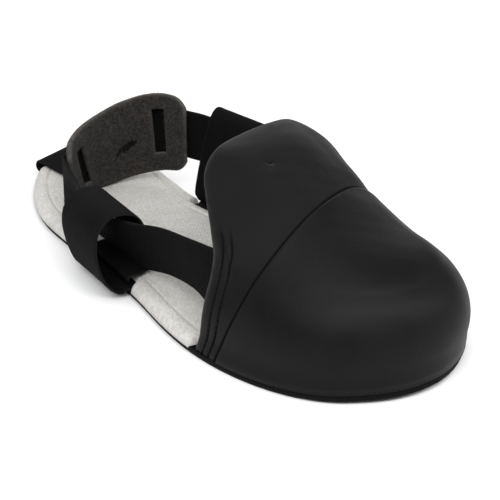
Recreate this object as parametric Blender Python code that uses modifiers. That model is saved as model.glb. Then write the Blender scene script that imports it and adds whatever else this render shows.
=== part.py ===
# Safety toe overshoe, right foot: rubber sole, cloth insole, toe cover with an
# instep flap, and the webbing straps and felt pad that hold it at the heel.
# Lengths in the tables are millimetres in the sole's own frame: x from the heel
# end to the toe, y towards the inner (medial) side, z up from the ground.

import math
from bisect import bisect_right

import bmesh
import bpy
from mathutils import Vector

for old in list(bpy.data.objects):
    bpy.data.objects.remove(old, do_unlink=True)

# Driving sizes
HEEL_X = 10.0
TOE_X = 303.0
ORIGIN_X = 156.0
TREAD_DEPTH = 1.4
OUTSOLE_TOP = 3.4
EDGE_INSET = 0.8
RIM_WIDTH = 5.0
BAR_PITCH = 9.0
BAR_LENGTH = 5.4
BAR_SLOPE = 0.6
TOE_SPRING = 3.0
SPRING_START = 238.0
GAP = 0.3
INSOLE_THICK = 5.1
INSOLE_INSET = 1.0
UPPER_INSET = 1.5
WALL = 2.3
SEAM_STEP = 0.6
BAND_THICK = 1.5
BAND_HALF = 13.2
TAIL_DEPTH = 13.0
PAD_THICK = 3.2
PAD_HEIGHT = 36.0
PAD_RADIUS = 32.4
PAD_CENTRE = (93.4, -2.3)
PAD_ENDS = (236.0, 96.0)
SLOT_WIDTH = 6.5
SLOT_FROM_END = 13.0
SLOT_HEIGHT = 24.0

INSOLE_BOTTOM = OUTSOLE_TOP + GAP
INSOLE_TOP = INSOLE_BOTTOM + INSOLE_THICK
TAIL_Z = INSOLE_BOTTOM + BAND_THICK / 2

# Sole edge, walked from the heel along the inner side, round the toe and back
# columns: x, y
SOLE_EDGE = [
    (10.0, 1.0), (12.8, 14.0), (20.5, 26.5), (33.0, 34.8), (49.0, 37.3),
    (74.0, 33.0), (100.0, 29.5), (128.0, 31.0), (155.0, 35.3), (184.0, 41.8),
    (210.0, 46.4), (235.0, 48.4), (257.0, 47.2), (274.0, 42.2), (287.0, 33.2),
    (296.5, 20.0), (301.8, 6.5), (303.0, -6.0), (300.5, -19.0), (294.0, -31.5),
    (282.0, -45.2), (264.0, -55.4), (240.0, -61.8), (215.0, -63.4), (190.0, -60.6),
    (158.0, -53.8), (125.0, -49.5), (95.0, -47.0), (64.0, -42.2), (39.0, -31.6),
    (21.5, -18.8), (12.8, -9.0),
]

# Rear edge of the toe cover and its flap, from the sole corner to the ridge
# columns: height share, x, y, z
RIM_LATERAL = [
    (0.0, 215.0, -61.6, 3.7), (0.2, 221.0, -62.8, 26.0), (0.4, 219.0, -54.5, 47.0),
    (0.5, 207.5, -46.5, 55.0), (0.6, 195.0, -39.0, 61.5), (0.7, 184.0, -31.0, 68.5),
    (0.8, 179.5, -20.5, 75.5), (0.9, 180.5, -7.5, 79.6), (1.0, 183.5, 5.0, 82.2),
]
RIM_MEDIAL = [
    (0.0, 216.0, 45.4, 3.7), (0.2, 217.5, 46.0, 26.0), (0.4, 209.0, 42.0, 47.0),
    (0.5, 200.0, 38.0, 56.5), (0.6, 191.5, 33.5, 65.0), (0.7, 186.0, 28.0, 73.0),
    (0.8, 184.0, 21.0, 79.0), (0.9, 184.5, 14.0, 82.0), (1.0, 183.5, 5.0, 82.2),
]

# Seam between flap and toe panel, from the sole edge to the ridge
# columns: height share, x on the lateral side, x on the medial side
SEAM = [
    (0.0, 229.6, 227.6), (0.35, 236.0, 229.0), (0.6, 238.5, 231.0),
    (0.8, 238.0, 234.0), (1.0, 236.0, 236.0),
]
SEAM_RIDGE = Vector((236.0, 4.0, 67.5))
TOE_TILT = 0.47
TOE_BULGE = 3.0
FLAP_CURL = 1.8
ROUND_LATERAL = 2.25
ROUND_MEDIAL = 1.72
ROUND_TOE = 2.8
ROUND_TOE_MEDIAL = 2.3
ROWS = 18
FLAP_COLUMNS = 12
TOE_COLUMNS = 40

# Ankle band from the lateral vamp to the medial vamp, the arc at the pad left out
# columns: x, y, z of the band's middle, then y and z of its half width
BAND_LATERAL = [
    (232.0, -49.7, 33.5, 5.6, 12.0), (216.0, -50.9, 34.4, 2.6, 12.9),
    (198.0, -50.2, 34.6, -1.5, 13.1), (175.0, -47.2, 30.4, -2.5, 12.95),
    (152.0, -46.9, 25.0, -3.2, 12.8), (130.0, -46.0, 23.9, -6.0, 11.75),
    (112.0, -42.2, 23.6, -5.5, 12.0), (94.0, -36.8, 26.4, -2.0, 13.05),
]
BAND_MEDIAL = [
    (106.0, 31.9, 41.0, 0.0, 13.2), (128.0, 31.7, 41.8, 0.0, 13.2),
    (150.0, 34.0, 40.5, 0.0, 13.2), (180.0, 38.0, 37.5, -1.0, 13.15),
    (205.0, 38.8, 34.8, -2.6, 12.9), (220.0, 36.4, 33.6, -4.5, 12.4),
    (232.0, 34.0, 33.0, -5.6, 12.0),
]
BAND_BACK_Z = [(0.0, 28.0), (0.25, 30.2), (0.5, 34.0), (0.75, 37.6), (1.0, 38.2)]

# Side loops as seen along the foot: in from the sole edge, and up
# columns: inward of the edge, z
LOOP_LATERAL = [
    (13.0, TAIL_Z), (3.0, TAIL_Z), (-1.4, 4.2), (-3.6, 3.5), (-6.6, 4.0), (-9.8, 8.0),
    (-12.6, 16.0), (-13.4, 25.0), (-11.2, 33.0), (-5.0, 38.2), (3.0, 38.8), (10.4, 35.0),
    (14.4, 25.0), (14.8, 15.0), (13.2, 11.4), (9.2, 10.15), (5.5, 10.1), (2.0, 9.7), (0.5, 8.0),
]
LOOP_MEDIAL = [
    (13.0, TAIL_Z), (3.0, TAIL_Z), (-1.4, 5.4), (-4.3, 12.0), (-6.0, 26.0), (-5.6, 44.0),
    (-3.6, 58.0), (0.0, 62.4), (3.4, 58.0), (4.7, 44.0), (4.9, 26.0), (4.2, 14.0),
    (2.4, 10.2), (0.7, 8.0),
]
LOOP_HALF = 21.0
LOOP_LATERAL_X = 133.5
LOOP_MEDIAL_X = 122.0
LOOP_MEDIAL_LEAN = 0.26
LOOP_LATERAL_LEAN = -0.17
LOOP_LATERAL_TILT = 0.045
LOOP_LATERAL_SPLAY = 2.0

# Heel strap from its tail under the insole to the back of the pad
# columns: x, y, z of its middle, then y and z of its half width
HEEL_STRAP = [
    (24.0, 0.0, TAIL_Z, 12.5, 0.0), (17.0, 0.0, TAIL_Z, 12.5, 0.0), (12.9, 0.0, 4.8, 12.5, 0.0),
    (11.3, 0.0, 6.8, 12.5, 0.0), (12.8, 0.0, 9.2, 12.5, 0.0), (19.0, 0.0, 10.0, 12.5, 0.0),
    (32.0, 0.0, 10.4, 12.5, 0.0), (45.0, 0.0, 12.0, 12.5, 0.0), (52.5, 0.0, 15.6, 12.5, 0.0),
    (55.5, 0.0, 23.0, 12.5, 0.0), (56.0, 0.0, 38.0, 12.5, 0.0),
]


# Curves through tables

def catmull(table, share, closed=False):
    """Point of a smooth curve through table, share from 0 to 1 along its rows."""
    count = len(table)
    spans = count if closed else count - 1
    place = min(max(share, 0.0), 1.0) * spans
    index = min(int(place), spans - 1)
    t = place - index
    rows = []
    for k in (-1, 0, 1, 2):
        i = index + k
        rows.append(table[i % count] if closed else table[min(max(i, 0), count - 1)])
    out = []
    for a, b, c, d in zip(*rows):
        out.append(0.5 * (2 * b + (c - a) * t + (2 * a - 5 * b + 4 * c - d) * t * t
                          + (3 * b - a - 3 * c + d) * t ** 3))
    return out


def lookup(table, key, column):
    """Smooth value of a column of a table whose first column rises."""
    keys = [row[0] for row in table]
    i = min(max(bisect_right(keys, key) - 1, 0), len(keys) - 2)
    span = keys[i + 1] - keys[i]

    def slope(k):
        lo = max(k - 1, 0)
        hi = min(k + 1, len(keys) - 1)
        return (table[hi][column] - table[lo][column]) / (keys[hi] - keys[lo])

    t = min(max((key - keys[i]) / span, 0.0), 1.0)
    a, b = table[i][column], table[i + 1][column]
    ma, mb = slope(i) * span, slope(i + 1) * span
    return ((2 * t ** 3 - 3 * t * t + 1) * a + (t ** 3 - 2 * t * t + t) * ma
            + (3 * t * t - 2 * t ** 3) * b + (t ** 3 - t * t) * mb)


def smooth(lo, hi, value):
    t = min(max((value - lo) / (hi - lo), 0.0), 1.0)
    return t * t * (3 - 2 * t)


def spring(x):
    """Lift of the sole towards the toe."""
    t = max(0.0, (x - SPRING_START) / (TOE_X - SPRING_START))
    return TOE_SPRING * t * t


EDGE_SAMPLES = [catmull(SOLE_EDGE, i / 480, closed=True) for i in range(480)]


def inset_edge(inset):
    """Sole edge moved inward by inset(x)."""
    out = []
    count = len(EDGE_SAMPLES)
    for i, (x, y) in enumerate(EDGE_SAMPLES):
        before = EDGE_SAMPLES[i - 2]
        after = EDGE_SAMPLES[(i + 2) % count]
        along = Vector((after[0] - before[0], after[1] - before[1])).normalized()
        d = inset(x)
        out.append((x + along.y * d, y - along.x * d))
    return out


def edge_sides(edge):
    """Inner and outer side of an edge, each as rows of x and y that rise in x."""
    heel = min(range(len(edge)), key=lambda i: edge[i][0])
    toe = max(range(len(edge)), key=lambda i: edge[i][0])
    turned = edge[heel:] + edge[:heel]
    cut = (toe - heel) % len(edge)
    medial = sorted(turned[:cut + 1])
    lateral = sorted(turned[cut:] + turned[:1])
    return medial, lateral


def side_y(side, x):
    keys = [p[0] for p in side]
    i = min(max(bisect_right(keys, x) - 1, 0), len(side) - 2)
    (xa, ya), (xb, yb) = side[i], side[i + 1]
    if xb - xa < 1e-9:
        return ya
    t = min(max((x - xa) / (xb - xa), 0.0), 1.0)
    return ya + (yb - ya) * t


# Mesh helpers

def row_point(p):
    return Vector(((p[0] - ORIGIN_X) / 1000, p[1] / 1000, p[2] / 1000))


def plain_material(name, colour, rough):
    mat = bpy.data.materials.new(name)
    mat.use_nodes = True
    shader = mat.node_tree.nodes["Principled BSDF"]
    shader.inputs["Base Color"].default_value = (*colour, 1.0)
    shader.inputs["Roughness"].default_value = rough
    shader.inputs["Metallic"].default_value = 0.0
    return mat


parts = bpy.data.collections.new("safety_toe_overshoe")
cutters = bpy.data.collections.new("cutters")
bpy.context.scene.collection.children.link(parts)
bpy.context.scene.collection.children.link(cutters)


def mesh_object(name, quads, mat, collection=parts):
    """Closed object from faces given as lists of points in millimetres."""
    bm = bmesh.new()
    for quad in quads:
        bm.faces.new([bm.verts.new(row_point(p)) for p in quad])
    bmesh.ops.remove_doubles(bm, verts=bm.verts, dist=2e-6)
    bmesh.ops.dissolve_degenerate(bm, edges=bm.edges, dist=1e-6)
    bmesh.ops.recalc_face_normals(bm, faces=bm.faces)
    mesh = bpy.data.meshes.new(name)
    bm.to_mesh(mesh)
    bm.free()
    mesh.shade_smooth()
    mesh.set_sharp_from_angle(angle=math.radians(40))
    obj = bpy.data.objects.new(name, mesh)
    collection.objects.link(obj)
    if mat:
        mesh.materials.append(mat)
    return obj


def loft(sections, closed_ends=True):
    """Faces between equal rings of points, with the two end rings filled."""
    quads = []
    for a, b in zip(sections, sections[1:]):
        for k in range(len(a)):
            n = (k + 1) % len(a)
            quads.append([a[k], a[n], b[n], b[k]])
    if closed_ends:
        quads.append(list(reversed(sections[0])))
        quads.append(list(sections[-1]))
    return quads


def ribbon(rows, thick, step=3.0):
    """Flat band along rows of x, y, z and a half-width vector."""
    length = sum((Vector(a[:3]) - Vector(b[:3])).length for a, b in zip(rows, rows[1:]))
    count = max(int(length / step), 4)
    stations = [catmull(rows, i / count) for i in range(count + 1)]
    rings = []
    for i, row in enumerate(stations):
        here = Vector(row[:3])
        half = Vector(row[3:])
        before = Vector(stations[max(i - 1, 0)][:3])
        after = Vector(stations[min(i + 1, count)][:3])
        along = (after - before).normalized()
        across = half.cross(along).normalized() * thick / 2
        rings.append([here - half - across, here + half - across,
                      here + half + across, here - half + across])
    return loft(rings)


rubber = plain_material("rubber_black", (0.012, 0.012, 0.013), 0.62)
cloth = plain_material("insole_cloth", (0.82, 0.81, 0.79), 0.85)
leather = plain_material("upper_black", (0.018, 0.017, 0.018), 0.42)
webbing = plain_material("webbing_black", (0.02, 0.02, 0.023), 0.8)
felt = plain_material("felt_brown_grey", (0.07, 0.062, 0.055), 0.95)

# Outsole: stations along the foot, with cross bars under it

sole_medial, sole_lateral = edge_sides(inset_edge(lambda x: 0.0))
x_first = sole_medial[0][0] + 0.25
x_last = sole_medial[-1][0] - 0.25


def end_stations(lo, hi, reach=26.0, count=9):
    """Stations that crowd towards the two round ends, and none between them."""
    steps = [reach * (1 - math.cos(math.pi / 2 * i / count)) for i in range(count)]
    return [lo + s for s in steps] + [hi - s for s in reversed(steps)]


def in_bar(x):
    """Height of the underside above the bars' faces, 0 on a bar."""
    if not x_first + 8 < x < x_last - 12:
        return 0.0
    place = (x - ORIGIN_X) % BAR_PITCH
    place = min(place, BAR_PITCH - place)
    return TREAD_DEPTH * min(max((place - BAR_LENGTH / 2) / BAR_SLOPE, 0.0), 1.0)


stations = set(end_stations(x_first, x_last))
bar = -17
while bar < 18:
    middle = ORIGIN_X + bar * BAR_PITCH
    for corner in (-BAR_LENGTH / 2 - BAR_SLOPE, -BAR_LENGTH / 2, BAR_LENGTH / 2, BAR_LENGTH / 2 + BAR_SLOPE):
        if x_first + 8 < middle + corner < x_last - 12:
            stations.add(middle + corner)
    bar += 1

rings = []
for x in sorted(stations):
    lat = side_y(sole_lateral, x)
    med = side_y(sole_medial, x)
    lift = spring(x)
    under = in_bar(x) + lift
    step_z = TREAD_DEPTH + 0.4 + lift
    top = OUTSOLE_TOP + lift
    rim = min(RIM_WIDTH, (med - lat) / 5)
    low = lift
    rings.append([(x, lat + EDGE_INSET, low), (x, lat + rim, low), (x, lat + rim + BAR_SLOPE, under),
                  (x, med - rim - BAR_SLOPE, under), (x, med - rim, low), (x, med - EDGE_INSET, low),
                  (x, med, step_z), (x, med, top), (x, lat, top), (x, lat, step_z)])
mesh_object("outsole", loft(rings), rubber)

# Insole: narrower where it runs inside the toe cover, pockets for the tails

FRONT_INSET = UPPER_INSET + WALL + 0.9


def insole_inset(x):
    return INSOLE_INSET + (FRONT_INSET - INSOLE_INSET) * smooth(206.0, 212.5, x)


insole_medial, insole_lateral = edge_sides(inset_edge(insole_inset))
x_first = insole_medial[0][0] + 0.25
x_last = insole_medial[-1][0] - 0.25
stations = set(end_stations(x_first, x_last))
stations.update(x for x in range(32, 270, 7))
stations.update((206.0, 207.5, 209.0, 210.5, 212.0, 213.0))
rings = []
for x in sorted(stations):
    lat = side_y(insole_lateral, x)
    med = side_y(insole_medial, x)
    lift = spring(x)
    low, high = INSOLE_BOTTOM + lift, INSOLE_TOP + lift
    rings.append([(x, lat, low), (x, med, low), (x, med, high - 0.7), (x, med - 0.7, high),
                  (x, lat + 0.7, high), (x, lat, high - 0.7)])
insole = mesh_object("insole", loft(rings), cloth)


def edge_frame(side, x):
    """Point on the sole edge and the unit vectors along it and inward."""
    here = Vector((x, side_y(side, x), 0.0))
    along = Vector((x + 20, side_y(side, x + 20), 0.0)) - Vector((x - 20, side_y(side, x - 20), 0.0))
    along.normalize()
    inward = Vector((-along.y, along.x, 0.0))
    if inward.y * here.y > 0:
        inward = -inward
    return here, along, inward


def pocket(name, middle, along, inward, half):
    """Cutter for a tail: a slot under the insole and a notch in its edge."""
    ceiling = TAIL_Z + BAND_THICK / 2 + GAP
    for depth, low, high, side in ((TAIL_DEPTH + 1.2, 0.0, ceiling, half), (4.4, 0.5, 20.0, half + 0.45)):
        corners = []
        for z in (low, high):
            ring = []
            for s, d in ((-side, -25.0), (side, -25.0), (side, depth), (-side, depth)):
                ring.append(middle + along * s + inward * d + Vector((0, 0, z)))
            corners.append(ring)
        obj = mesh_object(name + ("_slot" if low == 0.0 else "_notch"), loft(corners), None, cutters)
        obj.hide_render = True
        obj.display_type = "WIRE"
        cut = insole.modifiers.new(obj.name, "BOOLEAN")
        cut.operation = "DIFFERENCE"
        cut.object = obj


lateral_frame = edge_frame(sole_lateral, LOOP_LATERAL_X)
medial_frame = edge_frame(sole_medial, LOOP_MEDIAL_X)
heel_frame = (Vector((HEEL_X, 0.0, 0.0)), Vector((0.0, 1.0, 0.0)), Vector((1.0, 0.0, 0.0)))
pocket("pocket_lateral", *lateral_frame, LOOP_HALF + 0.8)
pocket("pocket_medial", *medial_frame, LOOP_HALF + 0.8)
pocket("pocket_heel", *heel_frame, 13.2)

# Toe cover with its flap: columns from the sole edge up to the ridge

upper_edge = inset_edge(lambda x: UPPER_INSET)
upper_medial, upper_lateral = edge_sides(upper_edge)


def arch(bottom, top, share, roundness, slope=0.0, bulge=0.0):
    """Point of an arched column between a sole-edge point and a ridge point."""
    angle = share * math.pi / 2
    out = math.cos(angle) ** (2 / roundness) if share < 1 else 0.0
    up = math.sin(angle) ** (2 / roundness) if share > 0 else 0.0
    reach = (bottom - top).to_2d().length
    flat = top + (bottom - top) * (out + bulge / reach * math.sin(math.pi * min(up / 0.7, 1.0)))
    z = bottom.z + (top.z - bottom.z) * up - slope * reach * out * (1 - out)
    return Vector((flat.x, flat.y, z))


def foot_of(x, y):
    return Vector((x, y, INSOLE_BOTTOM + spring(x)))


def seam_column(side_rows, column, roundness):
    """Seam from the sole edge to the ridge on one side."""
    x_low = SEAM[0][column]
    bottom = foot_of(x_low, side_y(side_rows, x_low))
    points = []
    for k in range(ROWS + 1):
        share = k / ROWS
        p = arch(bottom, SEAM_RIDGE, share, roundness)
        points.append(Vector((lookup(SEAM, share, column), p.y, p.z)))
    return points


shares = [k / ROWS for k in range(ROWS + 1)]
seam_l = seam_column(upper_lateral, 1, ROUND_LATERAL)
seam_m = seam_column(upper_medial, 2, ROUND_MEDIAL)
rim_l = [Vector([lookup(RIM_LATERAL, s, c) for c in (1, 2, 3)]) for s in shares]
rim_m = [Vector([lookup(RIM_MEDIAL, s, c) for c in (1, 2, 3)]) for s in shares]

# Sole-edge points of the toe panel, evenly spaced from seam to seam
start = min(range(len(upper_edge)), key=lambda i: (Vector(upper_edge[i]) - seam_m[0].to_2d()).length)
stop = min(range(len(upper_edge)), key=lambda i: (Vector(upper_edge[i]) - seam_l[0].to_2d()).length)
walk = [seam_m[0].to_2d()] + [Vector(p) for p in upper_edge[start + 1:stop]] + [seam_l[0].to_2d()]
walk.reverse()
runs = [0.0]
for a, b in zip(walk, walk[1:]):
    runs.append(runs[-1] + (b - a).length)
toe_feet = []
for j in range(TOE_COLUMNS + 1):
    want = runs[-1] * j / TOE_COLUMNS
    i = min(max(bisect_right(runs, want) - 1, 0), len(walk) - 2)
    t = (want - runs[i]) / max(runs[i + 1] - runs[i], 1e-9)
    p = walk[i].lerp(walk[i + 1], min(t, 1.0))
    toe_feet.append(foot_of(p.x, p.y))

toe = []
for j, bottom in enumerate(toe_feet):
    ahead = bottom - SEAM_RIDGE
    forward = max(0.0, ahead.x / ahead.to_2d().length)
    u = j / TOE_COLUMNS
    round_side = ROUND_LATERAL + (ROUND_MEDIAL - ROUND_LATERAL) * smooth(0.3, 0.7, u)
    round_ahead = ROUND_TOE + (ROUND_TOE_MEDIAL - ROUND_TOE) * smooth(0.6, 0.85, u)
    round_here = round_side + (round_ahead - round_side) * forward ** 2
    near_l = max(0.0, 1 - u / 0.3) ** 2
    near_m = max(0.0, 1 - (1 - u) / 0.3) ** 2
    column = []
    for k, s in enumerate(shares):
        p = arch(bottom, SEAM_RIDGE, s, round_here, TOE_TILT * forward, TOE_BULGE * forward)
        for near, seam, roundness in ((near_l, seam_l, ROUND_LATERAL), (near_m, seam_m, ROUND_MEDIAL)):
            plain = arch(seam[0], SEAM_RIDGE, s, roundness)
            p.x += near * (seam[k].x - plain.x)
        column.append(p)
    toe.append(column)
toe[0] = [p.copy() for p in seam_l]
toe[-1] = [p.copy() for p in seam_m]


def flap_columns(rim, seam, toe_next):
    """Columns from the rear edge to the seam, meeting the toe panel smoothly."""
    foot_run = (seam[0] - rim[0]).length
    toe_run = max((toe_next[0] - seam[0]).length, 1e-6)
    columns = []
    for j in range(FLAP_COLUMNS + 1):
        t = j / FLAP_COLUMNS
        column = []
        for k in range(ROWS + 1):
            chord = seam[k] - rim[k]
            leave = Vector((chord.x, chord.y, chord.z * (1 - FLAP_CURL * smooth(0.4, 0.75, shares[k]))))
            meet = (toe_next[k] - seam[k]) * (foot_run / toe_run)
            column.append(rim[k] * (2 * t ** 3 - 3 * t * t + 1) + leave * (t ** 3 - 2 * t * t + t)
                          + seam[k] * (3 * t * t - 2 * t ** 3) + meet * (t ** 3 - t * t))
        columns.append(column)
    return columns


flap_l = flap_columns(rim_l, seam_l, toe[1])
flap_m = flap_columns(rim_m, seam_m, toe[-2])
grid = flap_l[:-1] + toe + list(reversed(flap_m[:-1]))
last = len(grid) - 1


def grid_normal(j, k):
    """Outward normal of the cover at a grid point."""
    if k == ROWS:
        if FLAP_COLUMNS <= j <= last - FLAP_COLUMNS:
            return Vector((TOE_TILT, 0.0, 1.0)).normalized()
        other = last - j
        side = grid[other][k - 1] - grid[j][k - 1]
        along = grid[min(j + 1, FLAP_COLUMNS)][k] - grid[max(j - 1, 0)][k] if j < FLAP_COLUMNS else \
            grid[max(j - 1, last - FLAP_COLUMNS)][k] - grid[min(j + 1, last)][k]
        if j > FLAP_COLUMNS:
            side = -side
        return along.cross(side).normalized()
    left = grid[max(j - 1, 0)][k]
    right = grid[min(j + 1, last)][k]
    up = grid[j][min(k + 1, ROWS)] - grid[j][max(k - 1, 0)]
    if k == 0:
        up = Vector((0, 0, 1))
    return (right - left).cross(up).normalized()


normals = [[grid_normal(j, k) for k in range(ROWS + 1)] for j in range(last + 1)]
inner = []
for j in range(last + 1):
    column = []
    for k in range(ROWS + 1):
        p = grid[j][k] - normals[j][k] * WALL
        if k == 0:
            p.z = grid[j][0].z
        column.append(p)
    inner.append(column)
outer_toe = []
for j in range(FLAP_COLUMNS, last - FLAP_COLUMNS + 1):
    outer_toe.append([grid[j][k] + normals[j][k] * SEAM_STEP for k in range(ROWS + 1)])
for column in outer_toe:
    column[ROWS] = outer_toe[0][ROWS]


def sheet(columns):
    quads = []
    for a, b in zip(columns, columns[1:]):
        for k in range(ROWS):
            quad = [a[k], b[k], b[k + 1], a[k + 1]]
            if (b[k + 1] - a[k + 1]).length < 1e-6:
                quad.pop()
            quads.append(quad)
    return quads


faces = sheet(grid[:FLAP_COLUMNS + 1]) + sheet(grid[last - FLAP_COLUMNS:]) + sheet(outer_toe)
faces += [list(reversed(q)) for q in sheet(inner)]
for k in range(ROWS):
    faces.append([grid[0][k], grid[0][k + 1], inner[0][k + 1], inner[0][k]])
    faces.append([grid[last][k + 1], grid[last][k], inner[last][k], inner[last][k + 1]])
    for edge, toe_edge in ((grid[FLAP_COLUMNS], outer_toe[0]), (grid[last - FLAP_COLUMNS], outer_toe[-1])):
        faces.append([edge[k], edge[k + 1], toe_edge[k + 1], toe_edge[k]])
for j in range(last):
    if FLAP_COLUMNS <= j < last - FLAP_COLUMNS:
        a, b = outer_toe[j - FLAP_COLUMNS][0], outer_toe[j + 1 - FLAP_COLUMNS][0]
    else:
        a, b = grid[j][0], grid[j + 1][0]
    ring = [a, b, inner[j + 1][0], inner[j][0]]
    if j == FLAP_COLUMNS:
        ring.insert(0, grid[j][0])
    if j + 1 == last - FLAP_COLUMNS:
        ring.insert(ring.index(b) + 1, grid[j + 1][0])
    faces.append(ring)
mesh_object("upper", faces, leather)

# Felt pad at the heel, a bent slab with two slots

pad_length = PAD_RADIUS * math.radians(PAD_ENDS[0] - PAD_ENDS[1])

def pad_point(s, z_share, radius):
    """Point of the pad: s in millimetres along it, z_share up it."""
    corner = 8.0
    from_end = min(s, pad_length - s)
    round_off = 0.0
    if from_end < corner:
        round_off = corner - math.sqrt(max(corner ** 2 - (corner - from_end) ** 2, 0.0))
    middle = lookup(BAND_BACK_Z, s / pad_length, 1)
    rise = lookup(BAND_BACK_Z, s / pad_length + 0.02, 1) - lookup(BAND_BACK_Z, s / pad_length - 0.02, 1)
    tilt = math.atan2(rise, 0.04 * pad_length)
    up = (z_share - 0.5) * (PAD_HEIGHT - 2 * round_off)
    angle = math.radians(PAD_ENDS[0]) - (s - up * math.sin(tilt)) / PAD_RADIUS
    return Vector((PAD_CENTRE[0] + radius * math.cos(angle), PAD_CENTRE[1] + radius * math.sin(angle),
                   middle + up * math.cos(tilt)))


marks = {0.0, 0.4, 1.2, 2.6, 4.6, 7.0}
marks.update((10.0, SLOT_FROM_END, SLOT_FROM_END + SLOT_WIDTH / 2, SLOT_FROM_END + SLOT_WIDTH))
marks = sorted(marks) + [22.5 + i * 2.75 for i in range(8)]
marks = sorted({round(m, 4) for m in marks if m < pad_length / 2 - 0.5})
marks = marks + [pad_length / 2] + [pad_length - m for m in reversed(marks)]
slot_low = 0.5 - SLOT_HEIGHT / PAD_HEIGHT / 2
levels = [0.0, 0.1, slot_low, 0.35, 0.5, 0.65, 1 - slot_low, 0.9, 1.0]


def in_slot(i, k):
    s = (marks[i] + marks[i + 1]) / 2
    s = min(s, pad_length - s)
    return SLOT_FROM_END < s < SLOT_FROM_END + SLOT_WIDTH and 2 <= k < 6


pad_faces = []
for i in range(len(marks) - 1):
    for k in range(len(levels) - 1):
        if not in_slot(i, k):
            pad_faces.append([pad_point(marks[i + di], levels[k + dk], PAD_RADIUS)
                              for di, dk in ((0, 0), (1, 0), (1, 1), (0, 1))])
pad = mesh_object("heel_pad", pad_faces, felt)
solid = pad.modifiers.new("thickness", "SOLIDIFY")
solid.thickness = PAD_THICK / 1000
solid.offset = 0.0
solid.use_even_offset = True

# Ankle band: lateral vamp, lateral loop, round the pad, medial loop, medial vamp

band_radius = PAD_RADIUS + PAD_THICK / 2 + GAP + BAND_THICK / 2
band_rows = [(x, y, z, 0.0, wy, wz) for x, y, z, wy, wz in BAND_LATERAL]
ARC_ROWS = 12
for i in range(ARC_ROWS + 1):
    t = i / ARC_ROWS
    angle = math.radians(PAD_ENDS[0] + (PAD_ENDS[1] - PAD_ENDS[0]) * t)
    band_rows.append((PAD_CENTRE[0] + band_radius * math.cos(angle),
                      PAD_CENTRE[1] + band_radius * math.sin(angle),
                      lookup(BAND_BACK_Z, t, 1), 0.0, 0.0, BAND_HALF))
band_rows += [(x, y, z, 0.0, wy, wz) for x, y, z, wy, wz in BAND_MEDIAL]
mesh_object("ankle_strap", ribbon(band_rows, BAND_THICK), webbing)

# Side loops, sewn in under the insole


def side_loop(name, table, frame, lean, tilt, splay):
    here, along, inward = frame
    rows = []
    for e, z in table:
        rise = max(z - TAIL_Z, 0.0)
        p = here + inward * e + along * (lean * rise) + Vector((0, 0, z))
        half = along * LOOP_HALF - inward * splay * smooth(0.0, 6.0, abs(z - TAIL_Z)) + Vector((0, 0, tilt * rise))
        rows.append((*p, *half))
    return mesh_object(name, ribbon(rows, BAND_THICK, 2.4), webbing)


side_loop("side_loop_lateral", LOOP_LATERAL, lateral_frame, LOOP_LATERAL_LEAN, LOOP_LATERAL_TILT,
          LOOP_LATERAL_SPLAY)
side_loop("side_loop_medial", LOOP_MEDIAL, medial_frame, LOOP_MEDIAL_LEAN, 0.0, 0.0)

# Heel strap, flat along the insole and then up the back of the pad

strap_rows = [(x, y, z, 0.0, wy, wz) for x, y, z, wy, wz in HEEL_STRAP]
mesh_object("heel_strap", ribbon(strap_rows, BAND_THICK, 2.4), webbing)

print("objects:", ", ".join(sorted(o.name for o in parts.objects)))
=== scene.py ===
# %% [markdown]
# Safety toe overshoe, right foot.
# A hard toe cover is worn over a street shoe: the foot slips in from behind,
# and a webbing band round the ankle holds it. The measured solids give every
# place and size. This lesson dresses them: each step says what the real piece
# is made of, how it could be modelled, and why one way was chosen.

# %% Load the measured solids
import math

import bmesh
import bpy
import numpy as np
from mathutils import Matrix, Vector


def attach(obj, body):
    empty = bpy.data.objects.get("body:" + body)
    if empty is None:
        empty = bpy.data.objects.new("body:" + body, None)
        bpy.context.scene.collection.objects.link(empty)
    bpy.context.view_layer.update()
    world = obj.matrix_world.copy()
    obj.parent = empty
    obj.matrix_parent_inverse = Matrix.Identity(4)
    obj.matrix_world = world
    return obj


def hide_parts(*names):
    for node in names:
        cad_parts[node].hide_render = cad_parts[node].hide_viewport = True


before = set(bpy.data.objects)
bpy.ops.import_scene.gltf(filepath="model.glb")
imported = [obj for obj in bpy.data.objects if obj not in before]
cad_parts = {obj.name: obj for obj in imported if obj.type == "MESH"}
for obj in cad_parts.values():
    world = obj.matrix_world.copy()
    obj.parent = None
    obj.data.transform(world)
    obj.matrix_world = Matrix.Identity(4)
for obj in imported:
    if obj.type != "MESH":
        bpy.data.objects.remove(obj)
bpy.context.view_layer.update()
print("solids:", ", ".join(sorted(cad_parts)))

# %% [markdown]
# The camera comes first, because it decides which surfaces matter most.
# The shoe was photographed from its outer front corner, a little over half a
# metre away and about 25 degrees above it. The place is kept, and the lens is
# long enough that this one shoe fills the frame. No shift and no blur are used,
# so other views stay true.


# %% Camera
def add_object(name, data):
    """A new object in the scene."""
    thing = bpy.data.objects.new(name, data)
    bpy.context.scene.collection.objects.link(thing)
    return thing


def aim(thing, place, target):
    """Put a camera or a lamp at a place and turn it to a target."""
    thing.location = place
    thing.rotation_euler = (Vector(target) - Vector(place)).to_track_quat("-Z", "Y").to_euler()


EYE, LOOK_AT = (0.5491, -0.4363, 0.3668), (0.0132, 0.0072, 0.0112)
camera = add_object("camera", bpy.data.cameras.new("camera"))
camera.data.lens = 117.0
aim(camera, EYE, LOOK_AT)
bpy.context.scene.camera = camera
print("camera distance in mm:", round(1000 * math.dist(EYE, LOOK_AT)))

# %% [markdown]
# Black things show their shape by what they reflect. A long, low soft box in
# front gives the broad glow on the toe's shoulder, and one overhead and one
# behind light the flap and the upper edges. Weaker ones on the left and right
# keep the straps and the far side readable, and a pale sky fills the shadows.


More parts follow.
